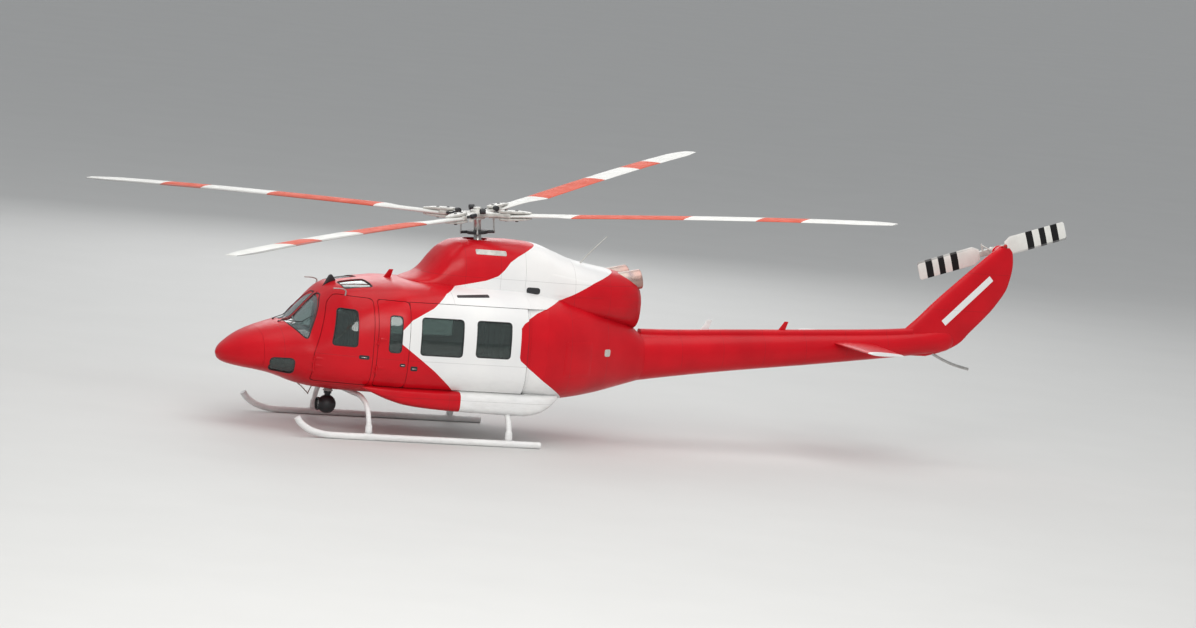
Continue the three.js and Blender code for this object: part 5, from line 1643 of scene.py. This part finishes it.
# Handles: name, the door they are on, their plate, their middle and their length.
HANDLES = [
    ("crew_door_handle", "crew_door", rectangle(1.925, 2.075, 1.19, 1.25), (2.00, 1.22), 0.085),
    ("sliding_door_handle", "sliding_door", rectangle(1.19, 1.30, 1.07, 1.14), (1.245, 1.105), 0.070),
    ("panel_handle", "hinged_panel", rectangle(1.385, 1.47, 1.12, 1.17), (1.428, 1.145), 0.055),
]
# Covers: name, outline, material, slot, body, how proud they stand and their corner radius.
COVERS = [
    ("cowling_vent", rectangle(-0.870, -0.660, 2.268, 2.365), DARK, "dark_metal", COWL, 0.006, 0.045),
    ("roof_slot", [(0.02, 2.200), (0.55, 2.175), (0.55, 2.205), (0.02, 2.235)], DARK, "dark_metal", HULL, 0.004, 0.014),
    ("baggage_door", rectangle(-1.72, -1.20, 1.08, 1.62), PAINT, "red_paint", HULL, 0.003, 0.050),
    ("side_light", rectangle(-2.09, -1.98, 1.39, 1.50), PALE_GREY, "white_paint", HULL, 0.006, 0.030),
    ("engine_door", [(-1.90, 2.26), (-1.02, 2.26), (-1.02, 2.60), (-1.90, 2.47)], COWL_PAINT, "white_paint", COWL,
     0.003, 0.050),
    # The pale plate on the pylon's top is a painted highlight that stands partly for lettering as well.
    ("pylon_highlight_panel", rectangle(-0.34, 0.14, 2.80, 2.87), PALE_GREY, "white_paint", COWL, 0.004, 0.020),
]


def wiper(side, sign):
    """A wiper on the windscreen: an arm that stands off the glass, its rubber and the knob it turns on."""
    arm = smooth_path([(3.040, sign * 0.14, 0), (2.930, sign * 0.24, 0), (2.760, sign * 0.47, 0)], 24)
    arm = top_points(HULL, arm[:, 0], arm[:, 1])
    arm += outward(HULL, arm) * np.interp(np.arange(24), [0, 4, 12, 23], [0.004, 0.016, 0.012, 0.007])[:, None]
    tip = top_points(HULL, np.linspace(2.90, 2.62, 20), sign * np.linspace(0.34, 0.56, 20))
    out = outward(HULL, arm[0])
    parts = [pipe("arm", arm, 0.006, UP, 10), pipe("rubber", tip + outward(HULL, tip) * 0.005, 0.004, UP, 8),
             turned("knob", arm[0] - out * 0.006, out, [(0, 0.018), (0.012, 0.016), (0.02, 0.008)], 16)]
    finish_piece(shade(joined("wiper_" + side, parts), 50), RUBBER)


def fittings():
    """Handles, vents, covers, lamps, wipers and masts."""
    bulb = [(-0.02, 0.018), (0.0, 0.018), (0.0005, 0.016), (0.001, 0.010)]
    for sign, side in SIDES:
        for name, kind, outline, _, _ in HANDLES:
            plate("%s_plate_%s" % (name, side), outline, sign, DARK, ride="%s_%s" % (kind, side))
        for name, kind, _, (x, z), length in HANDLES:
            lever("%s_%s" % (name, side), x, z, sign, "%s_%s" % (kind, side), length)
        for name, outline, *rest in COVERS:
            plate("%s_%s" % (name, side), outline, sign, *rest)
        at = (MAST_X - 6.36, sign * 1.4285, STABILISER_Z)
        lamp = turned("navigation_lamp_" + side, at, (0, sign, 0), bulb, 16)
        finish_piece(shade(lamp), LENS)
        wiper(side, sign)
    masts()


def aerial(name, x, z, height, chord, lean, material, low=False):
    """A blade aerial: leaf sections that shrink towards the tip and lean back."""
    rings = []
    for t in np.linspace(0, 1, 14):
        half = chord * (1 - 0.45 * t)
        u, v = leaf(half, -half, 0.010 * (1 - 0.4 * t), 20)
        rise = t * height * (-1 if low else 1)
        rings.append(points_at(x + u - lean * t, v, z + rise))
    return finish_piece(shade(loft(name, rings), 40), material)


def top_height(rows, x):
    """A body's top height at x from the mast."""
    return column(rows, 3, np.array([x]))[0]


def masts():
    """Aerials, the whip on the cowling, the air probes on the roof, the beacon and the wire guards."""
    top = top_height(COWL, -1.62)
    path = side_path([(-1.62, top - 0.03), (-1.74, top + 0.12), (-2.03, top + 0.42)], 0.30, 24)
    whip = pipe("whip_aerial", path, np.linspace(0.012, 0.005, 24), (0, 1, 0), 12)
    finish_piece(shade(whip, 50), PALE_GREY)
    aerial("roof_aerial", 1.35, top_height(HULL, 1.35) - 0.01, 0.13, 0.06, 0.06, RED_PAINT)
    aerial("belly_aerial_front", 0.9, 0.625, 0.16, 0.06, 0.06, RUBBER, low=True)
    aerial("belly_aerial_rear", -1.1, 0.645, 0.14, 0.06, 0.06, WHITE_PAINT, low=True)
    aerial("boom_aerial_front", -3.9, top_height(BOOM, -3.9) + 0.05, 0.17, 0.07, 0.08, WHITE_PAINT)
    aerial("boom_aerial_rear", -5.2, top_height(BOOM, -5.2) + 0.05, 0.14, 0.06, 0.07, RED_PAINT)
    for sign, side in SIDES:
        base = top_points(HULL, 2.22, sign * 0.70)
        way = smooth_path([base + (x, 0, z) for x, z in ((0, -0.01), (0, 0.06), (0.06, 0.085), (0.20, 0.088))], 30)
        probe = cuff("air_probe_" + side, way, [0, 0.3, 1], [0.014, 0.011, 0.009], (0, 1, 0), 12)
        finish_piece(shade(probe, 50), STEEL)
    ring = rounded(WIRE_GUARD, 0.02, step=0.1)
    rings = []
    for y, share in ((-0.006, 0.95), (-0.004, 1.0), (0.004, 1.0), (0.006, 0.95)):
        outline = ring.mean(0) + share * (ring - ring.mean(0))
        rings.append(points_at(outline[:, 0], y, outline[:, 1]))
    finish_piece(shade(loft("wire_guard_top", rings), 40), DARK)
    rods = []
    for path in ([(2.66, 0.672), (2.54, 0.590), (2.42, 0.480)], [(2.36, 0.640), (2.40, 0.560), (2.43, 0.485)]):
        rods.append(pipe("rod", side_path(path, 0, 16), 0.009, (0, 1, 0), 12))
    finish_piece(shade(joined("wire_guard_chin", rods), 50), PALE_GREY)
    dome = [(0, 0.040), (0.012, 0.040), (0.014, 0.034), (0.05, 0.030), (0.065, 0.016), (0.068, 0.004)]
    beacon = turned("beacon", (MAST_X - 8.87, 0, 3.372), UP, dome, 24)
    finish_piece(shade(beacon, 30), BEACON)


# Stage and camera
PHOTO = {"yaw": 19.70, "nose_up": 5.44, "roll": -1.25, "elevation": 7.8, "distance": 87.0}  # degrees, metres
FOCUS = np.array((0.25, 0.0, 1.95))  # what the camera looks at, in the frame
LENS_MM = 172.0


def camera():
    """A camera in the photograph's direction. The craft's nose-up, roll and yaw are turned back onto the camera, so it
    sees the craft as the photograph does while the craft stands level."""
    yaw, nose_up, roll, lift = (np.radians(PHOTO[key]) for key in ("yaw", "nose_up", "roll", "elevation"))
    pitch = np.array([[np.cos(nose_up), 0, -np.sin(nose_up)], [0, 1, 0], [np.sin(nose_up), 0, np.cos(nose_up)]])
    bank = np.array([[1, 0, 0], [0, np.cos(roll), -np.sin(roll)], [0, np.sin(roll), np.cos(roll)]])
    turn = np.array([[-np.cos(yaw), np.sin(yaw), 0], [-np.sin(yaw), -np.cos(yaw), 0], [0, 0, 1]])
    world = turn @ pitch @ bank
    ahead = np.array((0, np.cos(lift), -np.sin(lift))) @ world
    up = np.array((0, np.sin(lift), np.cos(lift))) @ world
    at = np.array((MAST_X, 0, 0)) - PHOTO["distance"] * ahead
    look = FOCUS - at
    look /= np.linalg.norm(look)
    across = np.cross(look, up)
    across /= np.linalg.norm(across)
    up = np.cross(across, look)
    data = bpy.data.cameras.new("camera")
    data.lens = LENS_MM
    data.clip_end = 1000
    made = bpy.data.objects.new("camera", data)
    bpy.context.collection.objects.link(made)
    made.matrix_world = Matrix(np.vstack([np.stack([across, up, -look, at], 1), (0, 0, 0, 1)]).tolist())
    bpy.context.scene.camera = made


def area_light(name, at, towards, size, power, tint=(1, 1, 1)):
    """A large round soft light that faces a point."""
    data = bpy.data.lights.new(name, "AREA")
    data.shape = "DISK"
    data.size, data.energy, data.color = size, power, tint
    made = bpy.data.objects.new(name, data)
    made.location = at
    made.rotation_mode = "QUATERNION"
    made.rotation_quaternion = (Vector(towards) - Vector(at)).to_track_quat("-Z", "Y")
    bpy.context.collection.objects.link(made)


def stage():
    """A wide pale floor, a pale surround, and large soft lights: a broad one overhead, a key over the left side and a
    weak one from behind."""
    size = 400.0
    made = piece("floor", [(-size, -size, 0), (size, -size, 0), (size, size, 0), (-size, size, 0)], [(0, 1, 2, 3)])
    f = Finish("floor_finish", Roughness=0.7)
    vector = f.place()[0]
    base = f.mix(f.noise(vector, 0.6, 4.0), (0.60, 0.60, 0.59, 1), (0.64, 0.64, 0.63, 1))
    made.data.materials.append(f.set(Base_Color=base))
    world = bpy.data.worlds.new("surround")
    world.use_nodes = True
    background = world.node_tree.nodes["Background"]
    background.inputs[0].default_value = (0.80, 0.82, 0.84, 1)
    background.inputs[1].default_value = 0.56
    bpy.context.scene.world = world
    bpy.context.scene.view_settings.view_transform = "Standard"
    area_light("overhead_light", (0, 2, 26), (0, 0, 0), 34, 4000, (1.0, 0.99, 0.97))
    area_light("key_light", (12, 30, 20), (0, 0, 1.5), 20, 5900, (1.0, 0.98, 0.95))
    area_light("back_light", (-6, -26, 14), (0, 0, 2.0), 18, 1500)


def build():
    camera()
    lanes = door_ways()
    cabin_shell(lanes)
    cabin_deck()
    pane_layer = doors()
    for kind in HINGES:
        for sign, side in SIDES:
            for end, label in ((-1, "door"), (1, "frame")):
                hinge_half("%s_hinge_%s_%s" % (kind, label, side), kind, end, sign)
    fixed_glass(pane_layer)
    nose_and_rear(lanes)
    cowlings()
    tail()
    main_blades()
    rotor_head()
    tail_rotor()
    landing_gear()
    crew_seats()
    bench_and_panel()
    controls()
    searchlight()
    fittings()
    finish_piece_node("engine_block", GREY)
    stage()
    for made in scratch:
        bpy.data.objects.remove(made)


build()
